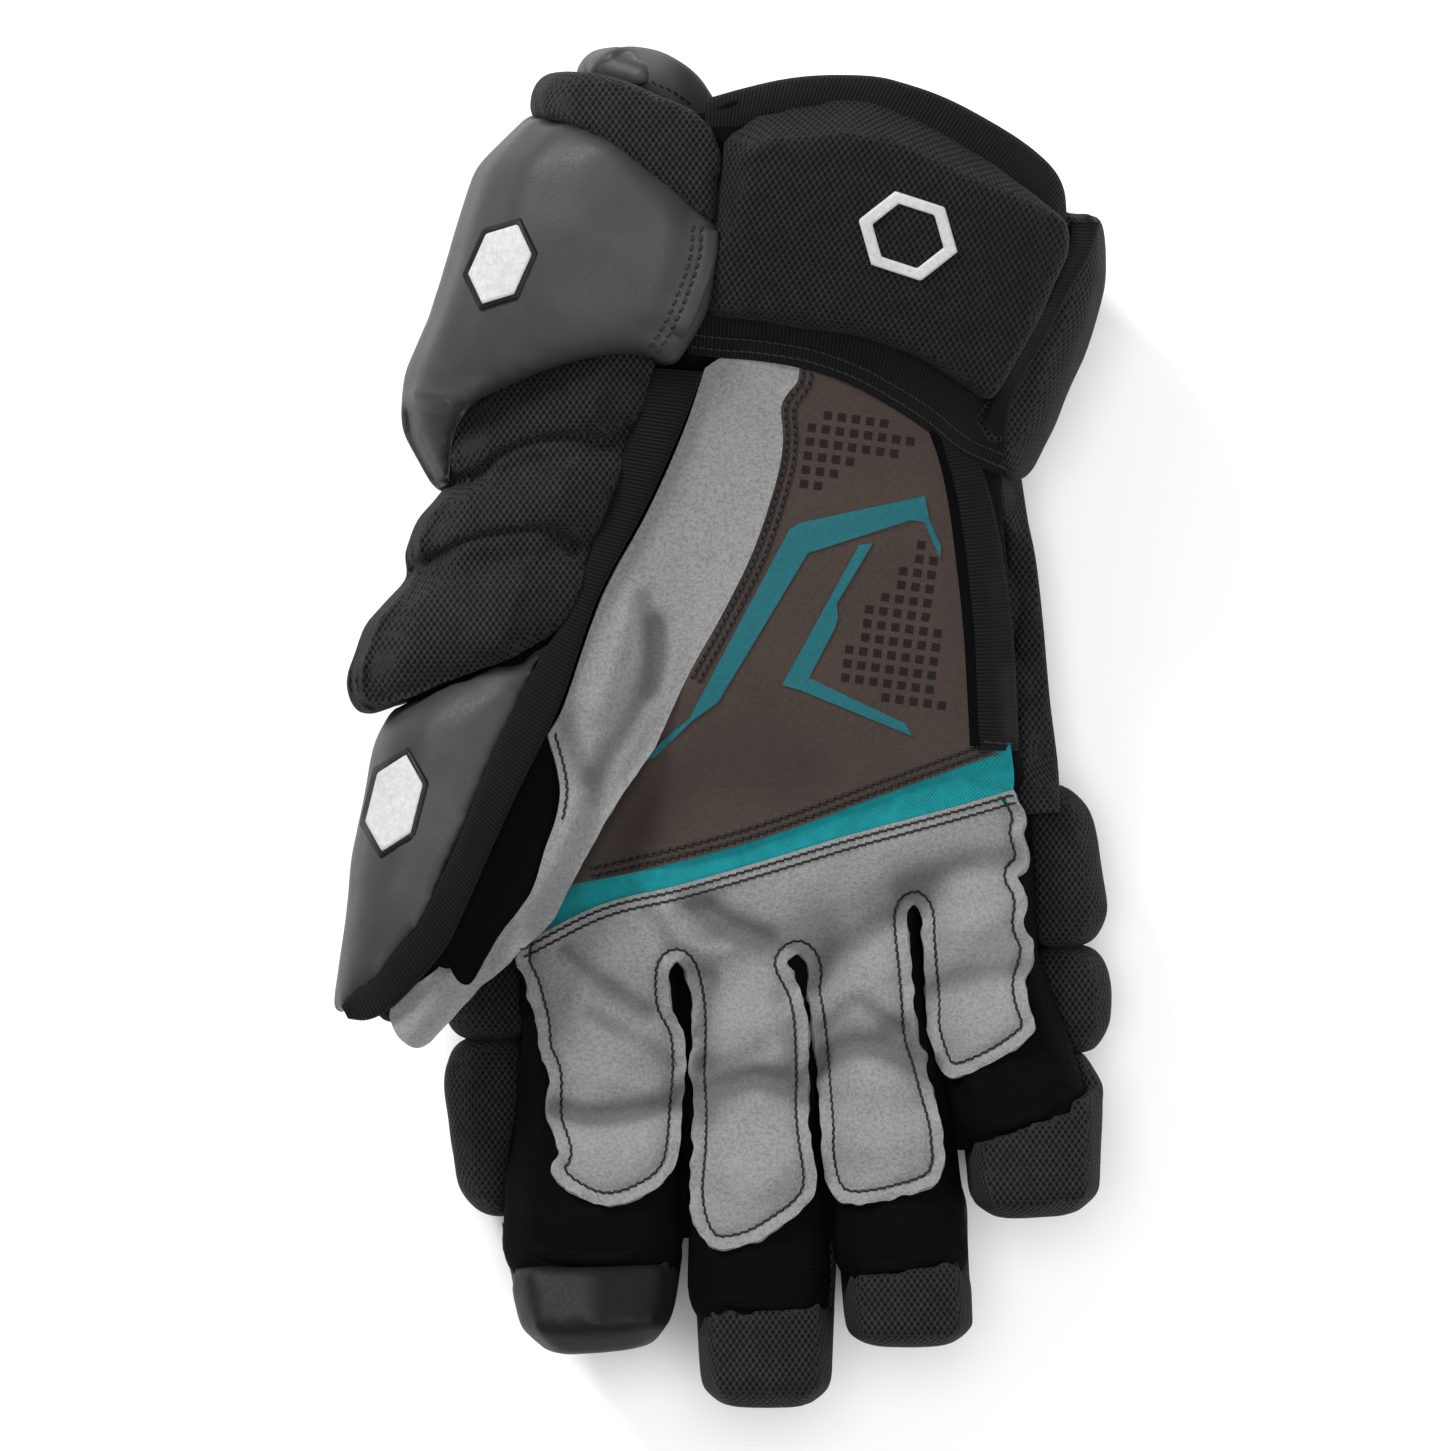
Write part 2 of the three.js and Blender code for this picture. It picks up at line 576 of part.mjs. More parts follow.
// Everything on the thumb's side of the ribbed binding.
const SIDE_REGION = planAt(86, [
  [300, 300], [652, 300], [653, 380], [602, 509], [573, 602], [537, 664], [495, 750], [420, 917],
  [375, 974], [352, 992], [330, 1040], [300, 1040],
]);
const SIDE_ROLLS = [
  [
    { v: 352, left: 448, right: 716, low: 8, high: 92, slant: 0.45 },
    { v: 461, left: 438, right: 690, low: 10, high: 90, slant: 0.22 },
  ],
  [
    { v: 464, left: 434, right: 690, low: 10, high: 90, slant: 0.22 },
    { v: 512, left: 414, right: 670, low: 9, high: 90, slant: 0.2 },
    { v: 557, left: 398, right: 650, low: 9, high: 88, slant: 0.19 },
  ],
  [
    { v: 560, left: 392, right: 650, low: 9, high: 88, slant: 0.19 },
    { v: 618, left: 356, right: 634, low: 9, high: 89, slant: 0.24 },
    { v: 668, left: 346, right: 604, low: 12, high: 88, slant: 0.38 },
  ],
];
SIDE_ROLLS.forEach((rows, k) => {
  place(`side_roll_${k + 1}`, blockOf(rows, { boxiness: 3, sides: 14, side: SIDE_REGION }), MESH);
});

const thumbShell = blockOf([
  { v: 668, left: 378, right: 620, low: 22, high: 86, slant: 0.42 },
  { v: 750, left: 370, right: 600, low: 24, high: 88, slant: 0.3 },
  { v: 834, left: 356, right: 570, low: 30, high: 91, slant: 0.16 },
  { v: 910, left: 352, right: 520, low: 38, high: 93 },
  { v: 970, left: 344, right: 480, low: 46, high: 92 },
  { v: 1014, left: 337, right: 440, low: 54, high: 90 },
], { boxiness: 2.6, sides: 14, between: 4, side: SIDE_REGION });
place('thumb_shell', thumbShell, LEATHER);

const tape = cover(['hand'],
  planAt(84, [
    [690, 316], [706, 310], [730, 317], [864, 334], [918, 352], [986, 402], [990, 440, 76],
    [968, 452, 76], [955, 454, 76], [923, 427], [851, 384], [805, 368], [757, 360], [717, 359],
    [688, 352],
  ]),
  SEAT_GAP, TAPE_THICKNESS);
place('cuff_palm_tape', tape, TAPE);
const edgeBinding = cover(['hand'],
  planAt(64, [
    [957, 458], [972, 456], [990, 446], [1000, 500], [1010, 600], [1013, 745], [988, 745],
    [985, 560], [975, 500],
  ]),
  SEAT_GAP, EDGE_BINDING_THICKNESS);
place('palm_edge_binding', edgeBinding, TAPE);

const suede = SEAT_GAP + SUEDE_THICKNESS;
const thumbPanel = cover(['hand', 'thumb'],
  planAt(74, [
    [705, 374], [722, 362], [798, 371], [795, 383], [784, 396], [782, 452], [777, 478], [754, 549],
    [653, 748], [614, 807], [548, 924], [491, 975], [434, 1038], [416, 1048], [398, 1048],
    [380, 1030], [446, 952], [454, 978], [462, 984], [474, 974], [498, 935], [530, 894],
    [557, 816], [560, 792], [549, 738], [601, 600], [650, 507], [684, 430],
  ]),
  SEAT_GAP, suede, 46);
place('palm_thumb_panel', thumbPanel, SUEDE);
const centrePanel = cover(['hand'],
  planAt(66, [
    [801, 371], [851, 387], [891, 409], [923, 430], [952, 460], [972, 500], [982, 560], [985, 749],
    [1000, 752], [760, 838], [575, 885], [569, 880], [600, 840], [656, 748], [757, 549],
    [780, 478], [785, 452], [787, 396], [798, 383],
  ]),
  SEAT_GAP, suede);
place('palm_centre_panel', centrePanel, BROWN);
const stretchStrip = cover(['hand'],
  planAt(62, [
    [1011, 750], [1013, 775], [1006, 792], [600, 902], [550, 925], [520, 941], [516, 930],
    [569, 884], [575, 888], [760, 841], [1000, 755],
  ]),
  SEAT_GAP, suede);
place('palm_stretch_strip', stretchStrip, TEAL);
const fingerPanel = cover(['hand', 'fingers'],
  planAt(58, [
    [518, 945], [600, 905], [1010, 792], [1023, 816], [1026, 837], [1026, 920], [1030, 955],
    [1027, 1000], [1032, 1033], [1002, 1059], [976, 1072], [948, 1078], [931, 1068], [921, 1010],
    [915, 890], [911, 936], [917, 1010], [940, 1120], [943, 1166], [931, 1187], [886, 1201],
    [853, 1204], [839, 1200], [826, 1184], [818, 1045], [806, 962], [797, 956], [790, 968],
    [806, 1000], [813, 1040], [813, 1140], [819, 1182], [803, 1210], [782, 1227], [728, 1250],
    [716, 1250], [700, 1236], [692, 1199], [690, 1045], [676, 960], [671, 975], [670, 1000],
    [681, 1040], [679, 1158], [672, 1173], [646, 1200], [622, 1205], [596, 1204], [568, 1189],
    [555, 1177], [550, 1092], [522, 970],
  ]),
  SEAT_GAP, suede, 42);
place('finger_palm_panel', fingerPanel, SUEDE);

// The two grip bands printed on the middle of the palm.
const GRIP_BANDS = [
  planAt(68, [
    [668, 735], [715, 680], [757, 608], [800, 548], [850, 512], [912, 494], [914, 508], [866, 530],
    [826, 568], [786, 630], [745, 695], [684, 750],
  ]),
  planAt(68, [
    [792, 690], [806, 640], [830, 594], [862, 550], [874, 556], [850, 600], [830, 646], [812, 698],
  ]),
];
const bandFoot = suede + SEAT_GAP;
const bandTop = bandFoot + BAND_THICKNESS;
GRIP_BANDS.forEach((outline, k) => {
  place(`palm_grip_band_${k + 1}`, cover(['hand'], outline, bandFoot, bandTop), TEAL);
});

const rimRows = [
  { v: 70, left: 690, right: 1000, low: 30, high: 98 },
  { v: 110, left: 680, right: 1040, low: 30, high: 99 },
  { v: 165, left: 680, right: 1066, low: 30, high: 98 },
  { v: 215, left: 680, right: 1078, low: 30, high: 94 },
];
const rim = cutForm(rimRows,
  planAt(92, [
    [713, 97], [784, 79], [824, 75], [872, 76], [904, 83], [944, 97], [1025, 143, 84],
    [1052, 167, 80], [1064, 189, 76], [1066, 212, 72], [1058, 212, 76], [958, 139, 100],
    [918, 118, 102], [872, 101, 102], [840, 98, 102], [757, 114, 102], [716, 145, 100], [712, 125],
  ]), { steps: 4 });
const RIM_FOOT = 66;
place('cuff_palm_rim', (grow) => rim(grow).subtract(prismOver(WHOLE_PLAN, 0, RIM_FOOT)), TAPE);

// The origin goes under the middle of the whole outline, on the surface that the glove lies on.
const whole = new THREE.Box3().setFromObject(glove);
const middle = whole.getCenter(new THREE.Vector3());
for (const piece of glove.children) piece.geometry.translate(-middle.x, -middle.y, -whole.min.z);

export default glove;
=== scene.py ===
# The looks of a right-hand ice hockey glove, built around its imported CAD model.
# Everything is in metres in the model's own frame: +X to the little finger's side, +Y to the cuff
# and +Z out of the palm, with the glove lying on its back on the plane z = 0.
import math

import bmesh
import bpy
import numpy as np
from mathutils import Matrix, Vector, geometry
from mathutils.bvhtree import BVHTree


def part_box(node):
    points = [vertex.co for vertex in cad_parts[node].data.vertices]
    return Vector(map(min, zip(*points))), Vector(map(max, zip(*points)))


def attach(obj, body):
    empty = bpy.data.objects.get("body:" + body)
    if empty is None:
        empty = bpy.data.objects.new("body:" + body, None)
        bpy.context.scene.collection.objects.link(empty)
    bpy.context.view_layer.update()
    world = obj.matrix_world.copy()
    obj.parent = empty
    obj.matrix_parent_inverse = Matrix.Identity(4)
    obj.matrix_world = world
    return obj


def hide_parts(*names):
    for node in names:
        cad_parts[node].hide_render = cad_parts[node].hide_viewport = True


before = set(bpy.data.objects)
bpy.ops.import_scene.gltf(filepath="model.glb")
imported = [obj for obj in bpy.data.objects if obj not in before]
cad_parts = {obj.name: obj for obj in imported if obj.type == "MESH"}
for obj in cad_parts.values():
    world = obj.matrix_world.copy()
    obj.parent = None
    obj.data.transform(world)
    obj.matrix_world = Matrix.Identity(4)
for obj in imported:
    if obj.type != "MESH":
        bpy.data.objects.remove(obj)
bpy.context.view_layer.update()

BODY = "root"
MM = 0.001

# The photograph looks straight down at the palm. These turn one of its pixels into a place.
PHOTO_CENTRE = (725.5, 725.5)
PIXEL = 0.26 * MM
LENS = 200.0
SENSOR = 36.0
PHOTO_SIDE = 1451
CAMERA_DISTANCE = PHOTO_SIDE * PIXEL * LENS / SENSOR
FOCAL_HEIGHT = 0.05
CAMERA = Vector((-0.0004, 0.0006, FOCAL_HEIGHT + CAMERA_DISTANCE))


def place(px, py, z=FOCAL_HEIGHT):
    """The point at the height z that the photograph shows at a pixel."""
    scale = PIXEL * (CAMERA.z - z) / CAMERA_DISTANCE
    return Vector((
        CAMERA.x + (px - PHOTO_CENTRE[0]) * scale,
        CAMERA.y - (py - PHOTO_CENTRE[1]) * scale,
        z,
    ))


def pixels_of(points):
    """The pixels of the photograph that show some points."""
    scale = PIXEL * (CAMERA.z - points[:, 2]) / CAMERA_DISTANCE
    return np.column_stack([
        PHOTO_CENTRE[0] + (points[:, 0] - CAMERA.x) / scale,
        PHOTO_CENTRE[1] - (points[:, 1] - CAMERA.y) / scale,
    ])


# Meshes and numbers

def new_object(name, mesh, smooth=True):
    obj = bpy.data.objects.new(name, mesh)
    bpy.context.scene.collection.objects.link(obj)
    if smooth:
        mesh.polygons.foreach_set("use_smooth", [True] * len(mesh.polygons))
    return obj


def mesh_from(name, points, faces, uvs=None):
    mesh = bpy.data.meshes.new(name)
    mesh.from_pydata([tuple(p) for p in points], [], faces)
    if uvs is not None:
        layer = mesh.uv_layers.new(name="UVMap")
        index = np.empty(len(mesh.loops), dtype=np.int32)
        mesh.loops.foreach_get("vertex_index", index)
        layer.data.foreach_set("uv", np.asarray(uvs, dtype=np.float32)[index].ravel())
    mesh.validate()
    mesh.update()
    return mesh


def coordinates(mesh):
    points = np.empty(len(mesh.vertices) * 3)
    mesh.vertices.foreach_get("co", points)
    return points.reshape(-1, 3)


def normals_of(mesh):
    normals = np.empty(len(mesh.vertices) * 3)
    mesh.vertices.foreach_get("normal", normals)
    return normals.reshape(-1, 3)


def set_coordinates(mesh, points):
    mesh.vertices.foreach_set("co", np.ascontiguousarray(points).ravel())
    mesh.update()


def applied(obj):
    """Applies the modifiers of an object to its mesh."""
    depsgraph = bpy.context.evaluated_depsgraph_get()
    mesh = bpy.data.meshes.new_from_object(obj.evaluated_get(depsgraph))
    old = obj.data
    obj.modifiers.clear()
    obj.data = mesh
    bpy.data.meshes.remove(old)
    return obj


def tree_of(*objects):
    """A search tree over the meshes of some objects, all at the origin."""
    points, faces = [], []
    for obj in objects:
        start = len(points)
        points += [v.co.copy() for v in obj.data.vertices]
        faces += [[start + k for k in p.vertices] for p in obj.data.polygons]
    return BVHTree.FromPolygons(points, faces)


def cad(*names):
    return [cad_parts[name] for name in names]


def on_surface(tree, px, py, lift=0.0, guess=FOCAL_HEIGHT):
    """The point of a surface that the camera sees at a pixel, or the nearest one to it."""
    aim = place(px, py, guess) - CAMERA
    hit, normal, _, _ = tree.ray_cast(CAMERA, aim.normalized())
    if hit is None:
        hit, normal, _, _ = tree.find_nearest(place(px, py, guess))
        flat = place(px, py, hit.z)
        hit = Vector((flat.x, flat.y, hit.z))
    return hit + Vector((0, 0, lift))


class Waves:
    """A smooth, seeded, irregular height over space, between about -1 and 1."""

    def __init__(self, seed, length, stretch=(1, 1, 1), count=7):
        rng = np.random.default_rng(seed)
        way = rng.normal(size=(count, 3))
        way /= np.linalg.norm(way, axis=1, keepdims=True)
        sizes = length * rng.uniform(0.7, 1.5, size=(count, 1))
        self.ways = way * 2 * math.pi / sizes / np.asarray(stretch)
        self.starts = rng.uniform(0, 2 * math.pi, size=count)
        self.share = 1 / math.sqrt(count)

    def __call__(self, points):
        return np.sin(points @ self.ways.T + self.starts).sum(axis=1) * self.share


def smoothstep(x, low, high):
    t = np.clip((x - low) / (high - low), 0, 1)
    return t * t * (3 - 2 * t)


# Materials

class Shader:
    """A short way to write a material's nodes."""

    def __init__(self, name, colour, roughness, sheen=0.0, specular=0.5):
        self.material = bpy.data.materials.new(name)
        self.material.use_nodes = True
        self.nodes = self.material.node_tree.nodes
        self.links = self.material.node_tree.links
        self.surface = self.nodes["Principled BSDF"]
        self.surface.inputs["Base Color"].default_value = (*colour, 1)
        self.surface.inputs["Roughness"].default_value = roughness
        self.surface.inputs["Specular IOR Level"].default_value = specular
        if sheen:
            self.surface.inputs["Sheen Weight"].default_value = sheen
            self.surface.inputs["Sheen Roughness"].default_value = 0.5
        self.coordinates = self.nodes.new("ShaderNodeTexCoord")
        self.geometry = self.nodes.new("ShaderNodeNewGeometry")

    def put(self, socket, value):
        if isinstance(value, bpy.types.NodeSocket):
            self.links.new(value, socket)
        elif value is not None:
            socket.default_value = value

    def math(self, operation, a, b=None, c=None):
        node = self.nodes.new("ShaderNodeMath")
        node.operation = operation
        for socket, value in zip(node.inputs, (a, b, c)):
            self.put(socket, value)
        return node.outputs[0]

    def parts(self, vector):
        node = self.nodes.new("ShaderNodeSeparateXYZ")
        self.put(node.inputs[0], vector)
        return node.outputs[0], node.outputs[1], node.outputs[2]

    def turned(self, vector, degrees):
        node = self.nodes.new("ShaderNodeMapping")
        self.put(node.inputs["Vector"], vector)
        node.inputs["Rotation"].default_value = tuple(math.radians(d) for d in degrees)
        return node.outputs[0]

    def noise(self, scale, detail=3.0, roughness=0.5, vector=None):
        node = self.nodes.new("ShaderNodeTexNoise")
        self.put(node.inputs["Vector"], vector or self.coordinates.outputs["Object"])
        node.inputs["Scale"].default_value = scale
        node.inputs["Detail"].default_value = detail
        node.inputs["Roughness"].default_value = roughness
        return node.outputs["Fac"]

    def span(self, value, low, high, new_low=0.0, new_high=1.0):
        node = self.nodes.new("ShaderNodeMapRange")
        node.interpolation_type = "SMOOTHSTEP"
        for socket, v in zip(node.inputs, (value, low, high, new_low, new_high)):
            self.put(socket, v)
        return node.outputs[0]

    def mix(self, share, a, b):
        node = self.nodes.new("ShaderNodeMix")
        node.data_type = "RGBA"
        self.put(node.inputs["Factor"], share)
        for socket, value in ((node.inputs[6], a), (node.inputs[7], b)):
            self.put(socket, value if isinstance(value, bpy.types.NodeSocket) else (*value, 1))
        return node.outputs[2]

    def colour(self, value):
        self.put(self.surface.inputs["Base Color"], value)

    def bump(self, height, distance, strength=1.0, after=None):
        node = self.nodes.new("ShaderNodeBump")
        node.inputs["Distance"].default_value = distance
        node.inputs["Strength"].default_value = strength
        self.put(node.inputs["Height"], height)
        if after is not None:
            self.links.new(after, node.inputs["Normal"])
        self.links.new(node.outputs[0], self.surface.inputs["Normal"])
        return node.outputs[0]


def spacer_mesh(name, thread, hole, pitch=(1.7 * MM, 2.4 * MM), turn=0.0):
    """Knitted spacer mesh: rows of oval holes, each row half a pitch from the last."""
    s = Shader(name, thread, 0.75, sheen=0.02, specular=0.08)
    x, y, z = s.parts(s.turned(s.coordinates.outputs["Object"], (0, 0, turn)))
    weights = [s.math("POWER", s.math("ABSOLUTE", n), 5.0)
               for n in s.parts(s.geometry.outputs["Normal"])]
    total = s.math("ADD", s.math("ADD", weights[0], weights[1]), weights[2])
    lattice = None
    for weight, (p, q) in zip(weights, ((z, y), (x, z), (x, y))):
        rows = s.math("COSINE", s.math("MULTIPLY", p, 2 * math.pi / pitch[0]))
        lines = s.math("COSINE", s.math("MULTIPLY", q, 2 * math.pi / pitch[1]))
        part = s.math("MULTIPLY", s.math("MULTIPLY", rows, lines), weight)
        lattice = part if lattice is None else s.math("ADD", lattice, part)
    lattice = s.math("DIVIDE", lattice, total)
    # Painted shade: the holes are coloured near black, for the shade down in them.
    holes = s.span(lattice, 0.12, 0.42)
    worn = s.noise(220, 4.0, 0.6)
    # Painted highlight: each thread is lighter on its crest and darker towards the holes.
    light = s.span(lattice, 0.1, -0.9, 0.9, 1.12)
    light = s.math("MULTIPLY", light, s.span(worn, 0.25, 0.75, 0.8, 1.2))
    scale = s.nodes.new("ShaderNodeVectorMath")
    scale.operation = "SCALE"
    scale.inputs[0].default_value = thread
    s.put(scale.inputs["Scale"], light)
    s.colour(s.mix(holes, scale.outputs[0], hole))
    s.bump(s.math("SUBTRACT", s.span(lattice, 0.6, -0.6), s.math("MULTIPLY", worn, 0.15)), 0.45 * MM)
    return s.material


def smooth_leather(name, colour, specular=0.22):
    """Coated synthetic leather with a fine grain and a soft shine."""
    s = Shader(name, colour, 0.5, specular=specular)
    grain = s.noise(1500, 3.0, 0.6)
    broad = s.noise(60, 3.0, 0.5)
    s.colour(s.mix(s.span(broad, 0.3, 0.7), tuple(c * 0.9 for c in colour), tuple(c * 1.1 for c in colour)))
    s.put(s.surface.inputs["Roughness"], s.span(grain, 0.2, 0.8, 0.44, 0.58))
    s.bump(grain, 0.05 * MM)
    return s.material


def suede(name, colour, fleck, contrast=0.16):
    """Brushed synthetic suede: a short nap with flecks, stroked patches, and painted shade, a darker
    tone where it is folded in."""
    s = Shader(name, colour, 0.95, sheen=0.12, specular=0.1)
    nap = s.noise(1100, 4.0, 0.7)
    fibre = s.noise(2600, 2.0, 0.6)
    stroked = s.noise(45, 4.0, 0.55)
    dark = tuple(c * (1 - contrast) for c in colour)
    pale = tuple(min(1, c * (1 + contrast)) for c in colour)
    base = s.mix(s.span(nap, 0.32, 0.62), dark, pale)
    base = s.mix(s.span(stroked, 0.35, 0.7, 0.0, 0.12), base, fleck)
    # Painted shade: the colour darkens where the sheet is creased in, by the crease depth kept on it.
    painted_crease_shade = s.nodes.new("ShaderNodeAttribute")
    painted_crease_shade.attribute_name = "painted_crease_shade"
    base = s.mix(s.span(painted_crease_shade.outputs["Fac"], 0.0, 1.0, 0.0, 0.62), base, tuple(c * 0.22 for c in colour))
    s.colour(base)
    s.bump(s.math("ADD", s.math("MULTIPLY", nap, 1.6), fibre), 0.24 * MM)
    return s.material


def ribbed(name, colour, pitch=1.0 * MM):
    """Woven tape with ribs across its length, which is the first direction of its UV map."""
    s = Shader(name, colour, 0.8, sheen=0.02, specular=0.1)
    along, across, _ = s.parts(s.coordinates.outputs["UV"])
    rib = s.math("COSINE", s.math("MULTIPLY", along, 2 * math.pi / pitch))
    yarn = s.noise(1300, 3.0, 0.6)
    shade = s.span(rib, -0.9, 0.6)
    shade = s.math("MULTIPLY", shade, s.span(yarn, 0.2, 0.8, 0.6, 1.0))
    s.colour(s.mix(shade, tuple(c * 0.35 for c in colour), tuple(c * 1.35 for c in colour)))
    s.bump(s.math("ADD", rib, s.math("MULTIPLY", yarn, 0.8)), 0.16 * MM)
    return s.material


def knit(name, colour, pitch=0.9 * MM, sheen=0.0):
    """Fine stretch knit: narrow wales with a slight unevenness."""
    s = Shader(name, colour, 0.85, sheen=sheen, specular=0.05)
    x, y, z = s.parts(s.coordinates.outputs["Object"])
    wale = s.math("COSINE", s.math("MULTIPLY", s.math("ADD", x, z), 2 * math.pi / pitch))
    course = s.math("COSINE", s.math("MULTIPLY", y, 2 * math.pi / (pitch * 1.3)))
    loops = s.math("MULTIPLY", wale, course)
    uneven = s.noise(240, 4.0, 0.6)
    shade = s.math("MULTIPLY", s.span(loops, -1.0, 1.0, 0.4, 1.0), s.span(uneven, 0.3, 0.7, 0.7, 1.0))
    s.colour(s.mix(shade, tuple(c * 0.4 for c in colour), tuple(min(1, c * 1.4) for c in colour)))
    s.bump(s.math("ADD", loops, uneven), 0.1 * MM)
    return s.material


def printed(name, colour, roughness=0.55):
    """A thin printed film that lets the cloth's nap show through."""
    s = Shader(name, colour, roughness, specular=0.15)
    nap = s.noise(800, 4.0, 0.65)
    s.colour(s.mix(s.span(nap, 0.3, 0.75), tuple(c * 0.86 for c in colour), tuple(min(1, c * 1.08) for c in colour)))
    s.bump(nap, 0.07 * MM)
    return s.material


def thread(name, colour):
    """Twisted sewing thread."""
    s = Shader(name, colour, 0.6, specular=0.25)
    twist = s.noise(3500, 2.0, 0.5)
    s.colour(s.mix(twist, tuple(c * 0.5 for c in colour), tuple(c * 1.5 for c in colour)))
    s.bump(twist, 0.08 * MM)
    return s.material


# Each spacer mesh's second colour is the painted shade in its holes.
MESH_BLACK = spacer_mesh("black spacer mesh", (0.0145, 0.0145, 0.015), (0.0008, 0.0008, 0.0008))
MESH_PAD = spacer_mesh("wrist pad mesh", (0.0105, 0.0105, 0.011), (0.0007, 0.0007, 0.0007), turn=8)
LEATHER = smooth_leather("grey synthetic leather", (0.023, 0.023, 0.024))
DARK_LEATHER = smooth_leather("dark synthetic leather", (0.007, 0.007, 0.0073), 0.1)
SUEDE = suede("light grey suede", (0.165, 0.165, 0.165), (0.26, 0.26, 0.26), 0.2)
BROWN = suede("brown suede", (0.036, 0.026, 0.0225), (0.07, 0.054, 0.048), 0.12)
TAPE = ribbed("black ribbed tape", (0.0045, 0.0045, 0.0048))
KNIT = knit("black liner knit", (0.0012, 0.0012, 0.0013))
STRETCH = knit("teal stretch knit", (0.006, 0.17, 0.19), 0.7 * MM, 0.1)
TEAL = printed("teal grip print", (0.003, 0.075, 0.09))
WHITE = printed("white mark", (0.38, 0.38, 0.38), 0.6)
BLACK = printed("black mark edge", (0.006, 0.006, 0.006), 0.45)
THREAD = thread("black thread", (0.006, 0.006, 0.006))
# The dark of a punched hole is partly the lining seen through it and partly painted shade, on a flat square.
PUNCHED = suede("punched hole", (0.0075, 0.0065, 0.006), (0.012, 0.01, 0.01))


def finished(obj, material, nodes=()):
    """Gives a piece its material, sets it on the body it rides on, and hides the CAD parts it stands for."""
    obj.data.materials.clear()
    obj.data.materials.append(material)
    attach(obj, BODY)
    if nodes:
        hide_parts(*nodes)
    return obj


# Lines and sheets

def spaced(line, spacing, closed=False):
    """The same line with its points at an even spacing."""
    line = np.asarray(line, dtype=float)
    if closed:
        line = np.vstack([line, line[:1]])
    steps = np.linalg.norm(np.diff(line, axis=0), axis=1)
    along = np.concatenate([[0], np.cumsum(steps)])
    count = max(2, round(along[-1] / spacing) + 1)
    where = np.linspace(0, along[-1], count)
    if closed:
        where = where[:-1]
    return np.column_stack([np.interp(where, along, line[:, k]) for k in range(line.shape[1])])


def curved(points, spacing=4.0, closed=False):
    """A smooth curve through a few points, with its own points at an even spacing."""
    p = np.asarray(points, dtype=float)
    if closed:
        p = np.vstack([p[-1:], p, p[:2]])
    else:
        p = np.vstack([2 * p[0] - p[1], p, 2 * p[-1] - p[-2]])
    t = np.linspace(0, 1, 9)[:-1, None]
    pieces = []
    for a, b, c, d in zip(p, p[1:], p[2:], p[3:]):
        pieces.append(0.5 * (2 * b + (c - a) * t + (2 * a - 5 * b + 4 * c - d) * t ** 2
                             + (3 * b - 3 * c + d - a) * t ** 3))
    if not closed:
        pieces.append(p[-2][None, :])
    return spaced(np.vstack(pieces), spacing, closed)


def sides_of(line, closed=False):
    """The direction to the left of a line at each of its points."""
    if closed:
        ahead = np.roll(line, -1, axis=0) - np.roll(line, 1, axis=0)
    else:
        ahead = np.gradient(line, axis=0)
    ahead /= np.maximum(np.linalg.norm(ahead, axis=1, keepdims=True), 1e-9)
    return np.column_stack([ahead[:, 1], -ahead[:, 0]])


def distance_to(points, line, closed=False):
    """How far each point is from a line, in the line's own unit."""
    start = line
    end = np.roll(line, -1, axis=0)
    if not closed:
        start, end = start[:-1], end[:-1]
    best = np.full(len(points), np.inf)
    for a, b in zip(start, end):
        span = b - a
        t = np.clip((points - a) @ span / max(span @ span, 1e-12), 0, 1)
        best = np.minimum(best, np.linalg.norm(points - a - t[:, None] * span, axis=1))
    return best


def inside(points, outline):
    """Whether each point is inside a closed outline."""
    x, y = points[:, 0], points[:, 1]
    found = np.zeros(len(points), dtype=bool)
    for (x0, y0), (x1, y1) in zip(outline, np.roll(outline, -1, axis=0)):
        crosses = (y0 > y) != (y1 > y)
        rise = y1 - y0 if y1 != y0 else 1e-12
        found ^= crosses & (x < x0 + (y - y0) * (x1 - x0) / rise)
    return found


def evened(values, known, edges, rounds):
    """Fills the unknown values from their neighbours, then smooths all of them."""
    a, b = edges.T
    count = len(values)
    values = np.where(known, values, values[known].mean())

    def neighbours(v, weight):
        total = np.bincount(a, v[b] * weight[b], count) + np.bincount(b, v[a] * weight[a], count)
        share = np.bincount(a, weight[b], count) + np.bincount(b, weight[a], count)
        return total, share

    have = known.astype(float)
    for _ in range(200):
        if have.all():
            break
        total, share = neighbours(values, have)
        new = (have == 0) & (share > 0)
        values[new] = total[new] / share[new]
        have[new] = 1
    whole = np.ones(count)
    for _ in range(rounds):
        total, share = neighbours(values, whole)
        values = 0.5 * values + 0.5 * total / np.maximum(share, 1)
    return values


def heights(tree, points, steepest=0.15):
    """The height of a surface where the camera sees it at each pixel, and whether it is seen there."""
    found = np.zeros(len(points))
    known = np.zeros(len(points), dtype=bool)
    for k, (px, py) in enumerate(points):
        hit, normal, _, _ = tree.ray_cast(CAMERA, (place(px, py) - CAMERA).normalized())
        if hit is not None and normal.z > steepest:
            found[k] = hit.z
            known[k] = True
    return found, known


def placed(points, z):
    """The places of many pixels at their heights."""
    scale = PIXEL * (CAMERA.z - z) / CAMERA_DISTANCE
    x = CAMERA.x + (points[:, 0] - PHOTO_CENTRE[0]) * scale
    y = CAMERA.y - (points[:, 1] - PHOTO_CENTRE[1]) * scale
    return np.column_stack([x, y, z])


def pressed(points, line, width, depth):
    """A soft groove along a line of pixels, or a ridge where the depth is negative."""
    return -depth * np.exp(-(distance_to(points, np.asarray(line, dtype=float)) / width) ** 2)


class Top:
    """The upper face of a sheet, to press other pieces under it."""

    def __init__(self, mesh, thickness):
        self.tree = BVHTree.FromPolygons([v.co.copy() for v in mesh.vertices],
                                         [tuple(p.vertices) for p in mesh.polygons])
        self.thickness = thickness


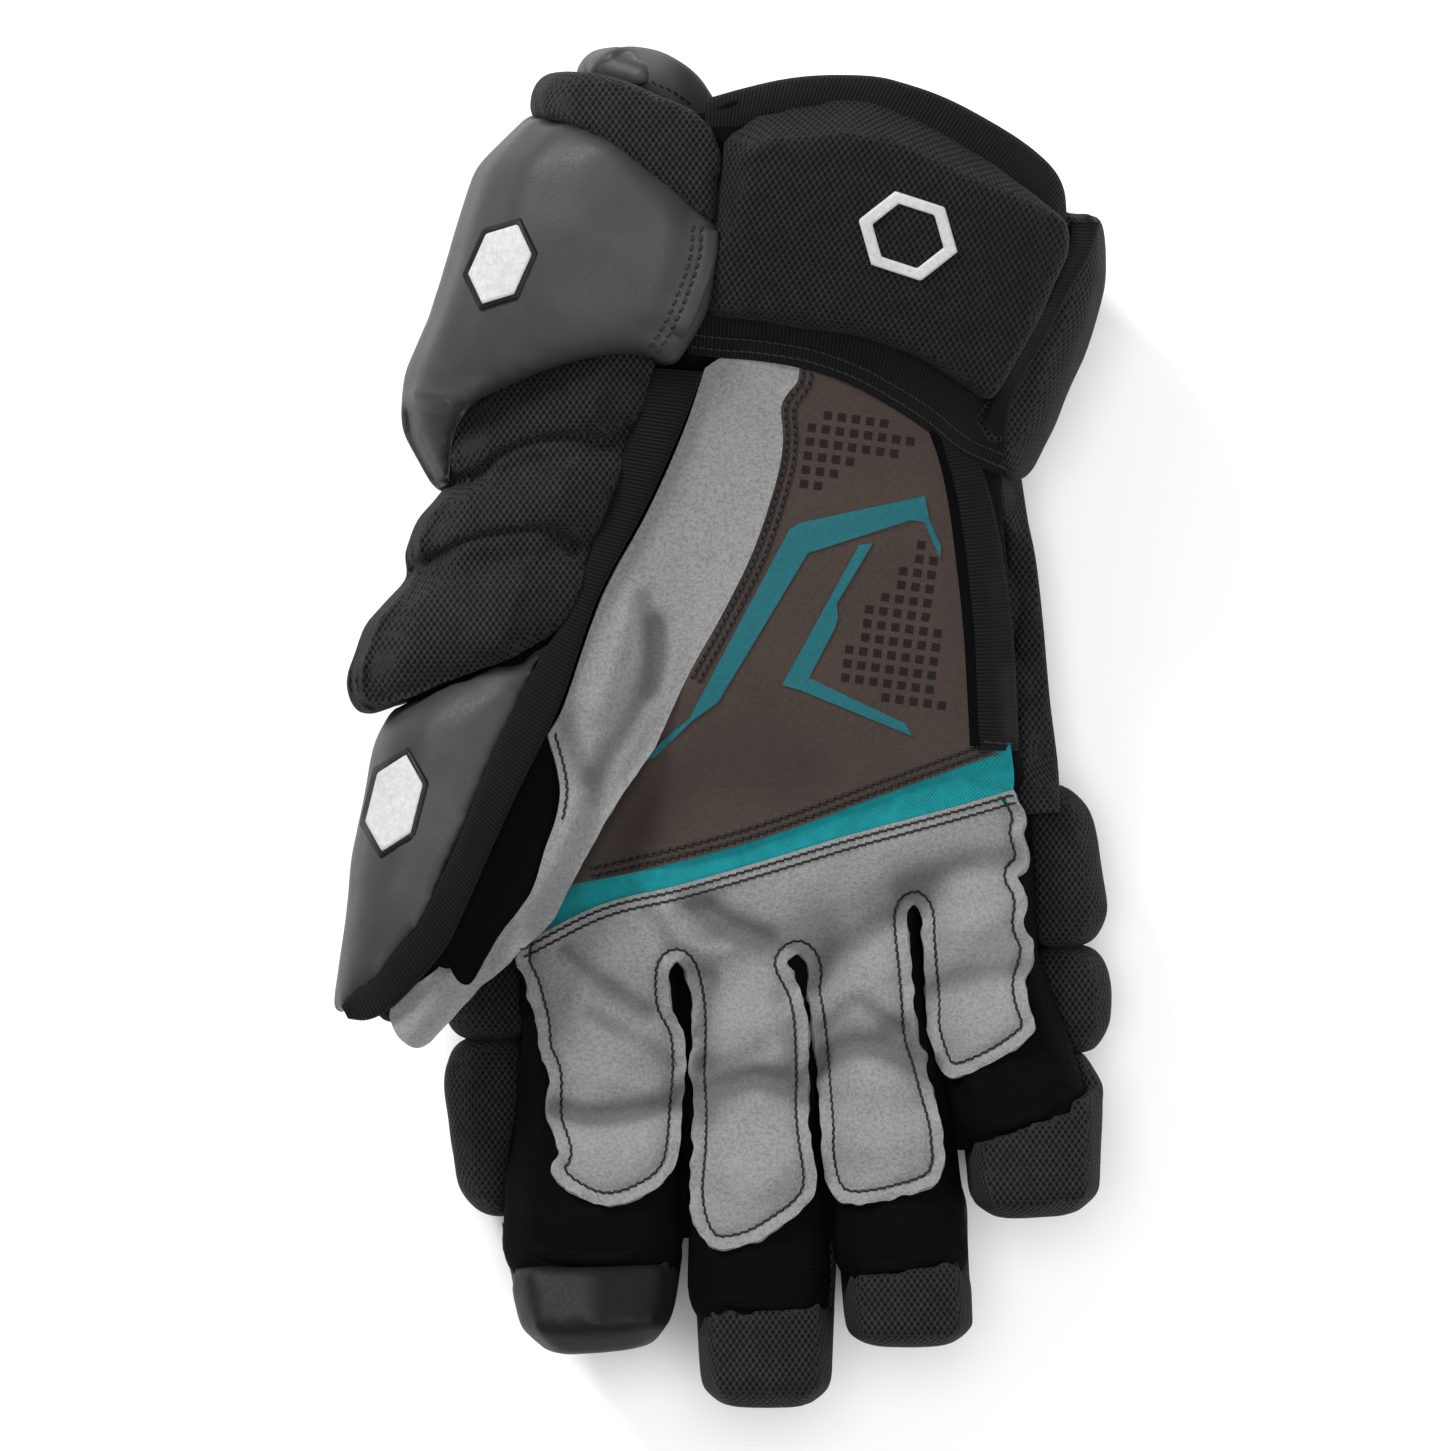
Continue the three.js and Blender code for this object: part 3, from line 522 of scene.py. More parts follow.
def press_under(obj, tops, clearance=0.35 * MM, deepest=9 * MM):
    """Moves the points of a piece that stand through a sheet down to just below it."""
    points = coordinates(obj.data)
    for k, (x, y, z) in enumerate(points):
        for top in tops:
            hit, normal, _, _ = top.tree.ray_cast(Vector((x, y, 0.3)), Vector((0, 0, -1)))
            if hit is None or abs(normal.z) < 0.2:
                continue
            limit = hit.z - top.thickness - clearance
            if limit < points[k, 2] < limit + deepest:
                points[k, 2] = limit
    set_coordinates(obj.data, points)


def cloth_sheet(name, runs, carriers, material, edge, nodes, lift=0.3 * MM, thickness=1.3 * MM,
                spacing=4.4, rounds=40, folds=None, flange=12.5, curl=0.8 * MM, groove=1.0 * MM, rag=1.3, seed=1):
    """A sheet cut to runs of its outline, laid over what carries it. A raw run has a wavy cut edge
    that stands up outside a sewn groove, and a sewn run is plain. Lengths in the plane are pixels."""
    ragged = Waves(seed, 17, count=9)
    lines, raw = [], []
    for kind, points in runs:
        line = curved(points, 3.6)
        if kind == "raw":
            fade = np.minimum(1, np.minimum(np.arange(len(line)), np.arange(len(line))[::-1]) / 4)
            wave = ragged(np.column_stack([line, np.zeros(len(line))]))
            line = line + sides_of(line) * (rag * fade * wave)[:, None]
            raw.append(line)
        lines.append(line[:-1])
    rim = np.vstack(lines)
    low, high = rim.min(0), rim.max(0)
    rows = np.arange(low[1], high[1], spacing * 0.866)
    grid = np.vstack([
        np.column_stack([np.arange(low[0] + (k % 2) * spacing / 2, high[0], spacing),
                         np.full(len(np.arange(low[0] + (k % 2) * spacing / 2, high[0], spacing)), y)])
        for k, y in enumerate(rows)])
    grid = grid[inside(grid, rim)]
    grid = grid[distance_to(grid, rim, closed=True) > spacing * 0.55]
    flat = np.vstack([rim, grid])
    found = geometry.delaunay_2d_cdt([Vector(p) for p in flat], [], [list(range(len(rim)))], 1, 1e-4)
    points = np.array([tuple(p) for p in found[0]])
    faces = [list(f) for f in found[2]]
    edges = np.array([tuple(e) for e in found[1]])
    z, known = heights(tree_of(*carriers), points)
    z = evened(z, known, edges, rounds) + lift
    if raw:
        far = np.min([distance_to(points, line) for line in raw], axis=0)
        wave = Waves(seed + 7, 26, count=9)(np.column_stack([points, np.zeros(len(points))]))
        out = np.clip(1 - far / flange, 0, 1)
        z = z - groove * np.exp(-((far - flange) / 3.4) ** 2)
        z = z + curl * out ** 1.5 * (0.6 + 0.8 * wave)
    depth = folds(points) if folds is not None else np.zeros(len(points))
    mesh = mesh_from(name, placed(points, z + depth), faces)
    # The crease depth is kept on the sheet for the suede's painted shade in its creases.
    painted_crease_shade = mesh.attributes.new("painted_crease_shade", "FLOAT", "POINT")
    painted_crease_shade.data.foreach_set("value", np.clip(-depth / (3.2 * MM), 0, 1))
    up = sum(p.normal.z for p in mesh.polygons)
    if up < 0:
        mesh.flip_normals()
    obj = new_object(name, mesh)
    top = Top(mesh, thickness)
    wall = obj.modifiers.new("wall", "SOLIDIFY")
    wall.thickness = thickness
    wall.offset = -1
    wall.use_even_offset = False
    wall.material_offset_rim = 1
    applied(obj)
    obj.data.polygons.foreach_set("use_smooth", [True] * len(obj.data.polygons))
    marks = np.zeros(len(obj.data.polygons), dtype=np.int32)
    obj.data.polygons.foreach_get("material_index", marks)
    finished(obj, material, nodes)
    obj.data.materials.append(edge)
    obj.data.polygons.foreach_set("material_index", marks)
    obj.data.set_sharp_from_angle(angle=math.radians(48))
    return obj, top



# Padded pieces

def fine_copy(nodes, name, voxel, rounds):
    """One closed, rounded mesh from a few CAD solids that lie side by side, as large as they are."""
    build = bmesh.new()
    for node in nodes:
        build.from_mesh(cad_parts[node].data)
    bmesh.ops.remove_doubles(build, verts=build.verts, dist=1e-5)
    mesh = bpy.data.meshes.new(name)
    build.to_mesh(mesh)
    build.free()
    obj = new_object(name, mesh)
    remesh = obj.modifiers.new("voxels", "REMESH")
    remesh.mode = "VOXEL"
    remesh.voxel_size = voxel
    smooth = obj.modifiers.new("round", "SMOOTH")
    smooth.factor = 0.5
    smooth.iterations = rounds
    applied(obj)
    boxes = np.array([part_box(node) for node in nodes])
    low, high = boxes[:, 0].min(0), boxes[:, 1].max(0)
    points = coordinates(obj.data)
    first, last = points.min(0), points.max(0)
    set_coordinates(obj.data, low + (points - first) * (high - low) / (last - first))
    return obj


def padding(name, nodes, material, slot, voxel=2.4 * MM, rounds=14, swell=0.8 * MM, wrinkle=0.15 * MM,
            seed=1, fill=0.8, shape=None):
    """A padded piece made from its CAD solids: rounded, filled out and slightly uneven."""
    obj = fine_copy(nodes, name, voxel, rounds)
    points = coordinates(obj.data)
    set_coordinates(obj.data, points + normals_of(obj.data) * swell)
    divide = obj.modifiers.new("finer", "SUBSURF")
    divide.levels = 1
    divide.render_levels = 1
    applied(obj)
    points = coordinates(obj.data)
    normals = normals_of(obj.data)
    lift = wrinkle * (Waves(seed, 22 * MM)(points) + 0.5 * Waves(seed + 50, 9 * MM)(points))
    points += normals * lift[:, None]
    if shape is not None:
        points += shape(points, normals)
    points[:, 2] = np.maximum(points[:, 2], 0.0)
    set_coordinates(obj.data, points)
    obj.data.polygons.foreach_set("use_smooth", [True] * len(obj.data.polygons))
    finished(obj, material, nodes)
    return obj


def facing_palm(normals, least=0.05, most=0.5):
    """How much each point faces the palm's side, from 0 to 1."""
    return smoothstep(normals[:, 2], least, most)


# Creases of the thumb's side, from its outer edge to the ridge, and the ridge itself.
SIDE_CREASES = [
    [(436, 486), (442, 482), (475, 475), (502, 455), (537, 443), (585, 439), (605, 444), (630, 432)],
    [(390, 580), (397, 575), (426, 561), (461, 544), (495, 536), (537, 532), (554, 537), (574, 550)],
]
SIDE_RIDGE = [(604, 340), (602, 355), (586, 439), (562, 490), (545, 530), (520, 590), (495, 645)]
CREASE_WIDTH = 6
CREASE_DEPTH = 2.6 * MM
RIDGE_WIDTH = 26
RIDGE_HEIGHT = 2.4 * MM


def side_shape(points, normals):
    """Tight sewn creases with fine pleats beside them, and a ridge between two flat facets."""
    pixels = pixels_of(points)
    ridge = curved(SIDE_RIDGE)
    creases = np.min([distance_to(pixels, curved(line)) for line in SIDE_CREASES], axis=0)
    from_ridge = distance_to(pixels, ridge)
    between = 1 - np.exp(-(creases / 20) ** 2)
    lift = RIDGE_HEIGHT * np.exp(-from_ridge / RIDGE_WIDTH) * between
    lift -= CREASE_DEPTH * np.exp(-(creases / CREASE_WIDTH) ** 2)
    left = pixels[:, 0] < np.interp(pixels[:, 1], ridge[:, 1], ridge[:, 0])
    pleats = np.sin(creases / 3.1) * np.exp(-(creases / 14) ** 2)
    lift += 0.22 * MM * pleats * left
    lift *= facing_palm(normals)
    drop = 9 * MM * np.clip(from_ridge / 190, 0, 1) * left * facing_palm(normals, 0.0, 0.8)
    move = normals * lift[:, None]
    move[:, 2] -= drop
    return move


WRAP_TUCK = [(474, 388), (466, 398), (450, 402), (432, 398), (418, 394)]


def wrap_shape(points, normals):
    """The wrap's lower left turns under below a tuck, and a soft band runs down to its front edge."""
    pixels = pixels_of(points)
    x, y = pixels.T
    tuck = curved(WRAP_TUCK)
    under = smoothstep(y, 394, 416) * smoothstep(-x, -492, -462)
    lift = 1.2 * MM * np.exp(-(distance_to(pixels, tuck) / 9) ** 2) * (y < 402)
    lift += 0.7 * MM * np.exp(-(distance_to(pixels, np.array([(620.0, 150.0), (664.0, 215.0), (650, 300)])) / 26) ** 2)
    lift -= 0.9 * MM * np.exp(-(distance_to(pixels, np.array([(690.0, 215.0), (688.0, 262.0), (662, 330)])) / 15) ** 2)
    lift *= facing_palm(normals)
    move = normals * lift[:, None]
    move[:, 2] -= 7 * MM * under * facing_palm(normals, 0.0, 0.4)
    return move


def pad_shape(points, normals):
    """The wrist pad is full in its middle and pulled down at its seams."""
    x, y = pixels_of(points).T
    centre = np.hypot((x - 885) / 190, (y - 235) / 110)
    move = np.zeros_like(points)
    move[:, 2] = 1.2 * MM * (1 - smoothstep(centre, 0.2, 1.2)) * facing_palm(normals, 0.4, 0.9)
    return move


FINGERS = ("index", "middle", "ring", "little")
pads = {}


def add_padding(name, nodes, *args, **options):
    pads[name] = padding(name, nodes, *args, **options)


for number, finger in enumerate(FINGERS):
    for part in ("base", "middle"):
        add_padding(f"{finger}_{part}_pad", [f"{finger}_{part}_block"], MESH_BLACK, "spacer_mesh", seed=10 + number)
    leather = finger == "index"
    add_padding(f"{finger}_tip_pad", [f"{finger}_tip_block"], DARK_LEATHER if leather else MESH_BLACK,
                "smooth_leather" if leather else "spacer_mesh", voxel=1.8 * MM, rounds=7, swell=0.8 * MM,
                wrinkle=0.06 * MM, seed=15 + number)
for k in (1, 2, 3):
    add_padding(f"back_pad_{k}", [f"back_roll_{k}"], MESH_BLACK, "spacer_mesh", voxel=3 * MM, rounds=10,
                seed=20 + k)
add_padding("thumb_side_pad", ["side_roll_1", "side_roll_2", "side_roll_3"], MESH_BLACK, "spacer_mesh",
            voxel=2 * MM, rounds=12, seed=30, shape=side_shape)
add_padding("cuff_back_pad", ["cuff_back_roll"], LEATHER, "smooth_leather", voxel=3 * MM, rounds=10, seed=40)
add_padding("wrist_pad", ["cuff_palm_pad"], MESH_PAD, "spacer_mesh", voxel=2 * MM, rounds=6, swell=0.5 * MM,
            seed=41, shape=pad_shape)
add_padding("cuff_mesh_pad", ["cuff_mesh_roll"], MESH_BLACK, "spacer_mesh", rounds=10, seed=42)
add_padding("thumb_wrap", ["cuff_thumb_wrap"], LEATHER, "smooth_leather", voxel=2 * MM, rounds=18,
            wrinkle=0.05 * MM, seed=43, shape=wrap_shape)
add_padding("top_flap", ["cuff_top_flap"], LEATHER, "smooth_leather", voxel=2 * MM, rounds=24,
            wrinkle=0.05 * MM, seed=44)
add_padding("cuff_flank_pad", ["cuff_outer_flank"], MESH_BLACK, "spacer_mesh", rounds=10, seed=45)
add_padding("thumb_shell_pad", ["thumb_shell"], LEATHER, "smooth_leather", voxel=2 * MM, rounds=20,
            swell=0.6 * MM, wrinkle=0.05 * MM, seed=47)
# The knitted liner

def liner(node, seed, rounds=8, longest=4 * MM, grow=0.0):
    """A piece of the thin liner: its CAD solid cut finer, with its facets smoothed away."""
    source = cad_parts[node]
    build = bmesh.new()
    build.from_mesh(source.data)
    bmesh.ops.remove_doubles(build, verts=build.verts, dist=1e-5)
    bmesh.ops.triangulate(build, faces=build.faces)
    for _ in range(5):
        long = [e for e in build.edges if e.calc_length() > longest]
        if not long:
            break
        bmesh.ops.subdivide_edges(build, edges=long, cuts=1)
        bmesh.ops.triangulate(build, faces=[f for f in build.faces if len(f.verts) > 3])
    mesh = bpy.data.meshes.new(node + "_knit")
    build.to_mesh(mesh)
    build.free()
    obj = new_object(node + "_knit", mesh)
    smooth = obj.modifiers.new("round", "SMOOTH")
    smooth.factor = 0.5
    smooth.iterations = rounds
    applied(obj)
    low, high = (np.array(p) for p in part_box(node))
    points = coordinates(obj.data)
    middle = (points.max(0) + points.min(0)) / 2
    span = points.max(0) - points.min(0)
    points = (low + high) / 2 + (points - middle) * ((high - low) / span)
    normals = normals_of(obj.data)
    points += normals * (grow + 0.25 * MM * Waves(seed, 14 * MM)(points))[:, None]
    points[:, 2] = np.maximum(points[:, 2], 0.0)
    set_coordinates(obj.data, points)
    obj.data.polygons.foreach_set("use_smooth", [True] * len(obj.data.polygons))
    finished(obj, KNIT, [node])
    return obj


LINER_GROWTH = {"hand_shell_palm": -0.3 * MM, "hand_shell_back": -0.3 * MM, "thumb_gusset": -0.8 * MM}
SLEEVE_GROWTH = 0.7 * MM
liners = {}
for number, node in enumerate([*LINER_GROWTH, *(f"{finger}_sleeve" for finger in FINGERS)]):
    liners[node] = liner(node, 60 + number, grow=LINER_GROWTH.get(node, SLEEVE_GROWTH))

# The palm's sheets

RAW_EDGE = suede("cut suede edge", (0.36, 0.36, 0.36), (0.46, 0.46, 0.46), 0.05)
BROWN_EDGE = suede("cut brown edge", (0.015, 0.011, 0.010), (0.03, 0.02, 0.018), 0.05)

FINGER_SEAM = [(518, 946), (600, 905), (680, 885), (760, 862), (850, 835), (950, 808), (1012, 790)]
FINGER_RAW = [
    (1012, 790), (1021, 804), (1025, 818), (1022, 832), (1027, 850), (1026, 865), (1016, 875), (1024, 888),
    (1027, 905), (1025, 925), (1033, 947), (1030, 965), (1025, 984), (1028, 1003), (1034, 1020),
    (1030, 1036), (1002, 1057), (976, 1070), (954, 1077), (942, 1070), (933, 1050), (927, 1026),
    (927, 1000), (924, 965), (922, 936), (921, 914), (914, 903), (907, 914), (908, 936),
    (911, 965), (914, 1000), (917, 1035), (925, 1062), (933, 1092), (941, 1120), (944, 1145),
    (944, 1167), (931, 1186), (886, 1200), (853, 1204), (836, 1198), (826, 1180),
    (821, 1150), (821, 1125), (818, 1085), (815, 1045), (811, 1012), (807, 990), (809, 974),
    (806, 960), (797, 953), (787, 962), (793, 976), (801, 992), (806, 1015), (808, 1045),
    (809, 1080), (808, 1104), (811, 1140), (815, 1165), (815, 1190), (803, 1209), (782, 1225),
    (751, 1243), (718, 1249), (702, 1238), (693, 1215), (690, 1187), (693, 1150), (694, 1110),
    (692, 1075), (693, 1045), (693, 1015), (690, 990), (685, 970), (677, 961), (670, 966), (668, 984),
    (670, 1005), (681, 1026), (685, 1048), (685, 1075), (682, 1110), (680, 1135), (677, 1158),
    (670, 1174), (656, 1188), (624, 1203), (596, 1204), (568, 1190), (555, 1177), (551, 1166),
    (559, 1154), (555, 1137), (549, 1120), (549, 1095), (548, 1070), (539, 1050), (537, 1024),
    (532, 1003), (526, 982), (518, 966), (518, 946),
]

# Creases in the finger panel as lines, each with a width in pixels and a depth in millimetres, and
# the full places between them with a negative depth.
FINGER_CREASES = [
    ([(556, 1108), (592, 1117), (640, 1112), (676, 1100)], 12, 2.8),
    ([(694, 1096), (722, 1086), (762, 1078), (806, 1092)], 13, 3.0),
    ([(820, 1062), (850, 1048), (888, 1050), (930, 1068)], 13, 2.8),
    ([(926, 990), (960, 978), (1024, 968)], 11, 1.4),
    ([(646, 914), (662, 934), (672, 950)], 9, 1.5),
    ([(692, 898), (728, 924), (766, 938)], 13, 2.6),
    ([(665, 902), (676, 930), (698, 950), (728, 950)], 8, -1.1),
    ([(690, 968), (712, 980), (706, 1020), (704, 1066)], 10, 1.8),
    ([(704, 1066), (728, 1062), (760, 1050)], 10, 1.2),
    ([(563, 949), (598, 978), (624, 996), (650, 1012)], 8, 1.5),
    ([(590, 1014), (624, 1035), (652, 1048), (672, 1064)], 8, 1.4),
    ([(906, 888), (936, 872), (970, 862), (1012, 856)], 15, 2.2),
    ([(815, 985), (838, 952), (880, 925), (902, 915)], 13, 1.9),
    ([(826, 1024), (858, 1002), (898, 1030)], 9, 1.6),
    ([(780, 1000), (795, 1040), (790, 1070)], 9, 1.2),
    ([(572, 1150), (610, 1160), (662, 1148)], 24, -2.2),
    ([(712, 1170), (755, 1182), (800, 1160)], 28, -2.4),
    ([(840, 1140), (885, 1148), (925, 1130)], 26, -2.2),
    ([(944, 1030), (980, 1032), (1018, 1014)], 24, -1.6),
    ([(950, 930), (975, 926), (1006, 912)], 18, -1.2),
    ([(722, 1030), (750, 1022), (786, 1024)], 15, -1.2),
    ([(565, 1070), (610, 1078), (655, 1088)], 12, -1.0),
    ([(840, 1085), (870, 1086), (905, 1096)], 10, -0.6),
    ([(700, 908), (760, 950), (810, 935), (860, 905), (905, 888)], 32, 1.3),
    ([(562, 1106), (620, 1104), (672, 1092)], 24, 1.0),
    ([(704, 1098), (750, 1072), (800, 1080)], 28, 1.2),
    ([(704, 1120), (712, 1160), (712, 1188)], 15, 1.3),
    ([(902, 1036), (924, 1072), (920, 1098)], 22, 1.7),
    ([(832, 1036), (870, 1024), (902, 1034)], 22, 1.0),
    ([(948, 972), (990, 960), (1030, 955)], 26, 1.0),
    ([(560, 945), (600, 985), (650, 1015)], 18, 1.0),
]


def finger_folds(points):
    """Creases where the fingers bend, the pull from the forks between them, and the full tips."""
    z = np.zeros(len(points))
    for line, width, depth in FINGER_CREASES:
        z += pressed(points, curved(line), width, depth * MM)
    flat = np.column_stack([points, np.zeros(len(points))])
    z += 0.35 * MM * Waves(5, 95)(flat) + 0.2 * MM * Waves(6, 34)(flat)
    return z * smoothstep(distance_to(points, curved(FINGER_SEAM)), 2, 24)


finger_sheet, finger_top = cloth_sheet(
    "finger_palm_cloth", [("sewn", FINGER_SEAM), ("raw", FINGER_RAW)], cad("finger_palm_panel"), SUEDE, RAW_EDGE,
    ["finger_palm_panel"], folds=finger_folds, lift=1.4 * MM, rag=0.8, seed=3)

THUMB_LEFT = [(705, 368), (684, 430), (650, 507), (601, 600), (564, 705), (548, 735)]
THUMB_GUSSET_SIDE = [(548, 735), (557, 768), (560, 792), (556, 818), (545, 849), (530, 894), (498, 938),
                     (474, 980), (462, 984), (452, 972), (446, 952)]
THUMB_TIP = [(446, 952), (438, 968), (408, 990), (391, 1008), (391, 1022), (400, 1039), (415, 1048), (428, 1044),
             (440, 1032), (461, 1009), (480, 986)]
THUMB_RIGHT = [(480, 986), (515, 955), (550, 924), (569, 889), (584, 861), (599, 834), (614, 807), (655, 748)]
THUMB_SEAM = [(655, 748), (688, 676), (723, 613), (754, 549), (777, 478), (783, 440), (781, 410), (786, 396),
              (797, 382), (800, 368)]
THUMB_TOP = [(800, 368), (760, 360), (725, 357), (705, 368)]


THUMB_CREASES = [
    ([(657, 628), (654, 668), (632, 716), (606, 760), (594, 800)], 13, 2.5),
    ([(644, 600), (656, 640), (652, 690)], 11, 1.6),
    ([(562, 716), (574, 748), (588, 780)], 12, 1.6),
    ([(604, 560), (596, 620), (584, 690)], 22, -1.6),
    ([(634, 590), (616, 660), (600, 710)], 12, -1.4),
    ([(582, 800), (564, 850), (540, 895)], 13, -1.6),
    ([(514, 930), (492, 962)], 10, 1.2),
    ([(446, 975), (430, 1005), (410, 1030)], 19, -2.6),
]


def thumb_folds(points):
    """The soft hollow beside the thumb's root and the rolls that lead to its tip."""
    z = np.zeros(len(points))
    for line, width, depth in THUMB_CREASES:
        z += pressed(points, curved(line), width, depth * MM)
    flat = np.column_stack([points, np.zeros(len(points))])
    return z + 0.35 * MM * Waves(15, 90)(flat)


thumb_sheet, thumb_top = cloth_sheet(
    "palm_thumb_cloth",
    [("sewn", THUMB_LEFT), ("sewn", THUMB_GUSSET_SIDE), ("raw", THUMB_TIP), ("raw", THUMB_RIGHT),
     ("sewn", THUMB_SEAM), ("sewn", THUMB_TOP)],
    cad("palm_thumb_panel"), SUEDE, RAW_EDGE, ["palm_thumb_panel"],
    folds=thumb_folds, lift=1.2 * MM, flange=7, curl=0.3 * MM, groove=0.2 * MM, rag=0.15, seed=13)

BROWN_LEFT = [(800, 366), (797, 382), (786, 396), (781, 410), (783, 440), (777, 478), (754, 549), (723, 613),
              (688, 676), (650, 745), (606, 811), (563, 886)]
BROWN_BOTTOM = [(563, 886), (640, 871), (760, 839), (880, 796), (1002, 752)]
BROWN_RIGHT = [(1002, 752), (992, 745), (987, 620), (980, 530), (965, 465), (940, 436)]
BROWN_TOP = [(940, 436), (891, 403), (851, 381), (800, 366)]
PALM_DIP = [(606, 860), (670, 795), (740, 765), (800, 772)]


def brown_folds(points):
    """The palm's middle dips beside the thumb's root, and tucks under the thumb's cloth at its edge."""
    flat = np.column_stack([points, np.zeros(len(points))])
    z = 0.3 * MM * Waves(25, 120)(flat) + 0.25 * MM
    z += pressed(points, curved(PALM_DIP), 55, 1.6 * MM)
    under = curved([(655, 735), (606, 811), (563, 886)])
    return z - 0.9 * MM * (1 - smoothstep(distance_to(points, under), 5, 16))


brown_sheet, brown_top = cloth_sheet(
    "palm_centre_cloth", [("sewn", BROWN_LEFT), ("sewn", BROWN_BOTTOM), ("sewn", BROWN_RIGHT), ("sewn", BROWN_TOP)],
    cad("palm_centre_panel", "palm_thumb_panel"), BROWN, BROWN_EDGE, ["palm_centre_panel"],
    folds=brown_folds, lift=1.0 * MM, seed=23)

STRIP_TOP = [(566, 884), (640, 862), (760, 830), (880, 787), (1010, 742)]
STRIP_END = [(1010, 742), (1014, 775), (1012, 800)]
STRIP_BOTTOM = [(1012, 800), (950, 817), (850, 845), (760, 872), (680, 895), (600, 915), (516, 952)]
STRIP_START = [(516, 952), (530, 920), (566, 884)]


STRIP_CREASES = [
    ([(960, 775), (985, 786), (1008, 792)], 6, 0.7),
    ([(965, 765), (990, 768), (1012, 764)], 5, 0.5),
    ([(900, 800), (950, 782), (1000, 752)], 8, -0.5),
]


def strip_folds(points):
    """The stretch strip sits a little below the cloth sewn to it, and gathers at its outer end."""
    z = np.zeros(len(points))
    for line, width, depth in STRIP_CREASES:
        z += pressed(points, curved(line), width, depth * MM)
    flat = np.column_stack([points, np.zeros(len(points))])
    return z + 0.15 * MM * Waves(35, 40)(flat) - 0.3 * MM


strip_sheet, strip_top = cloth_sheet(
    "palm_stretch_cloth", [("sewn", STRIP_TOP), ("sewn", STRIP_END), ("sewn", STRIP_BOTTOM), ("sewn", STRIP_START)],
    cad("palm_stretch_strip", "finger_palm_panel", "palm_centre_panel"), STRETCH, STRETCH,
    ["palm_stretch_strip"], folds=strip_folds, thickness=0.8 * MM, seed=33)

# The liner gives way under the folds of the cloth on it.
for node in liners:
    press_under(liners[node], (finger_top, thumb_top, brown_top, strip_top))
# Tapes, bindings and rolled edges

def resampled(line, count):
    """The same line with a given number of points at an even spacing."""
    steps = np.linalg.norm(np.diff(line, axis=0), axis=1)
    along = np.concatenate([[0], np.cumsum(steps)])
    where = np.linspace(0, along[-1], count)
    return np.column_stack([np.interp(where, along, line[:, k]) for k in range(line.shape[1])])


def grid_edges(rows, columns):
    index = np.arange(rows * columns).reshape(rows, columns)
    return np.vstack([
        np.column_stack([index[:, :-1].ravel(), index[:, 1:].ravel()]),
        np.column_stack([index[:-1].ravel(), index[1:].ravel()]),
    ])


def ribbon(name, left, right, tree, material, nodes=(), crown=0.8 * MM, lift=0.2 * MM,
           thickness=2.0 * MM, columns=11, rounds=30, roundness=2.4, wave=0.0, droop=0.0, seed=1):
    """A closed strip between two lines of pixels, with a rounded top, laid over a surface. Its two
    ends hang down by droop."""
    left, right = curved(left), curved(right)
    count = max(len(left), len(right))
    left, right = resampled(left, count), resampled(right, count)
    t = np.linspace(0, 1, columns)
    points = (left[:, None, :] * (1 - t)[None, :, None] + right[:, None, :] * t[None, :, None])
    flat = points.reshape(-1, 2)
    z, known = heights(tree, flat)
    z = evened(z, known, grid_edges(count, columns), rounds)
    bulge = crown * (1 - np.abs(2 * t - 1) ** roundness) ** (1 / roundness)
    top = z.reshape(count, columns) + lift + bulge[None, :]
    if wave:
        lines = np.column_stack([flat, np.zeros(len(flat))])
        top = top + wave * Waves(seed, 40)(lines).reshape(count, columns)
    along = np.linspace(-1, 1, count)[:, None]
    top = top - droop * along ** 4
    bottom = z.reshape(count, columns) + lift - thickness - droop * along ** 4
    upper = placed(flat, top.ravel()).reshape(count, columns, 3)
    lower = placed(flat, bottom.ravel()).reshape(count, columns, 3)
    rings = np.concatenate([upper, lower[:, ::-1]], axis=1)
    sides = rings.shape[1]
    middle = upper[:, columns // 2]
    run = np.concatenate([[0], np.cumsum(np.linalg.norm(np.diff(middle, axis=0), axis=1))])
    around = np.concatenate([t, 1 - t])
    uvs = np.stack(np.broadcast_arrays(run[:, None], around[None, :]), axis=-1).reshape(-1, 2)
    faces = []
    for i in range(count - 1):
        for j in range(sides):
            k = (j + 1) % sides
            faces.append((i * sides + j, i * sides + k, (i + 1) * sides + k, (i + 1) * sides + j))
    faces.append(tuple(range(sides))[::-1])
    faces.append(tuple((count - 1) * sides + j for j in range(sides)))
    mesh = mesh_from(name, rings.reshape(-1, 3), faces, uvs)
    facing_out(mesh)
    obj = new_object(name, mesh)
    return finished(obj, material, nodes)


def facing_out(mesh):
    build = bmesh.new()
    build.from_mesh(mesh)
    bmesh.ops.recalc_face_normals(build, faces=build.faces)
    build.to_mesh(mesh)
    build.free()


THUMB_BINDING_LEFT = [(653, 368), (632, 430), (604, 507), (575, 600), (539, 660), (497, 744), (458, 840),
                      (422, 915), (398, 948), (368, 980), (350, 994), (341, 1005)]
THUMB_BINDING_RIGHT = [(703, 372), (681, 430), (646, 507), (597, 600), (560, 705), (512, 804), (461, 918),
                       (446, 948), (419, 981), (392, 1008), (368, 1020), (348, 1019)]
thumb_binding = ribbon(
    "thumb_edge_tape", THUMB_BINDING_LEFT, THUMB_BINDING_RIGHT,
    tree_of(pads["thumb_shell_pad"], *cad("thumb_binding", "side_roll_1", "side_roll_2", "side_roll_3")), TAPE,
    ["thumb_binding"], crown=1.8 * MM, lift=0.5 * MM, thickness=5 * MM, rounds=60, seed=2)

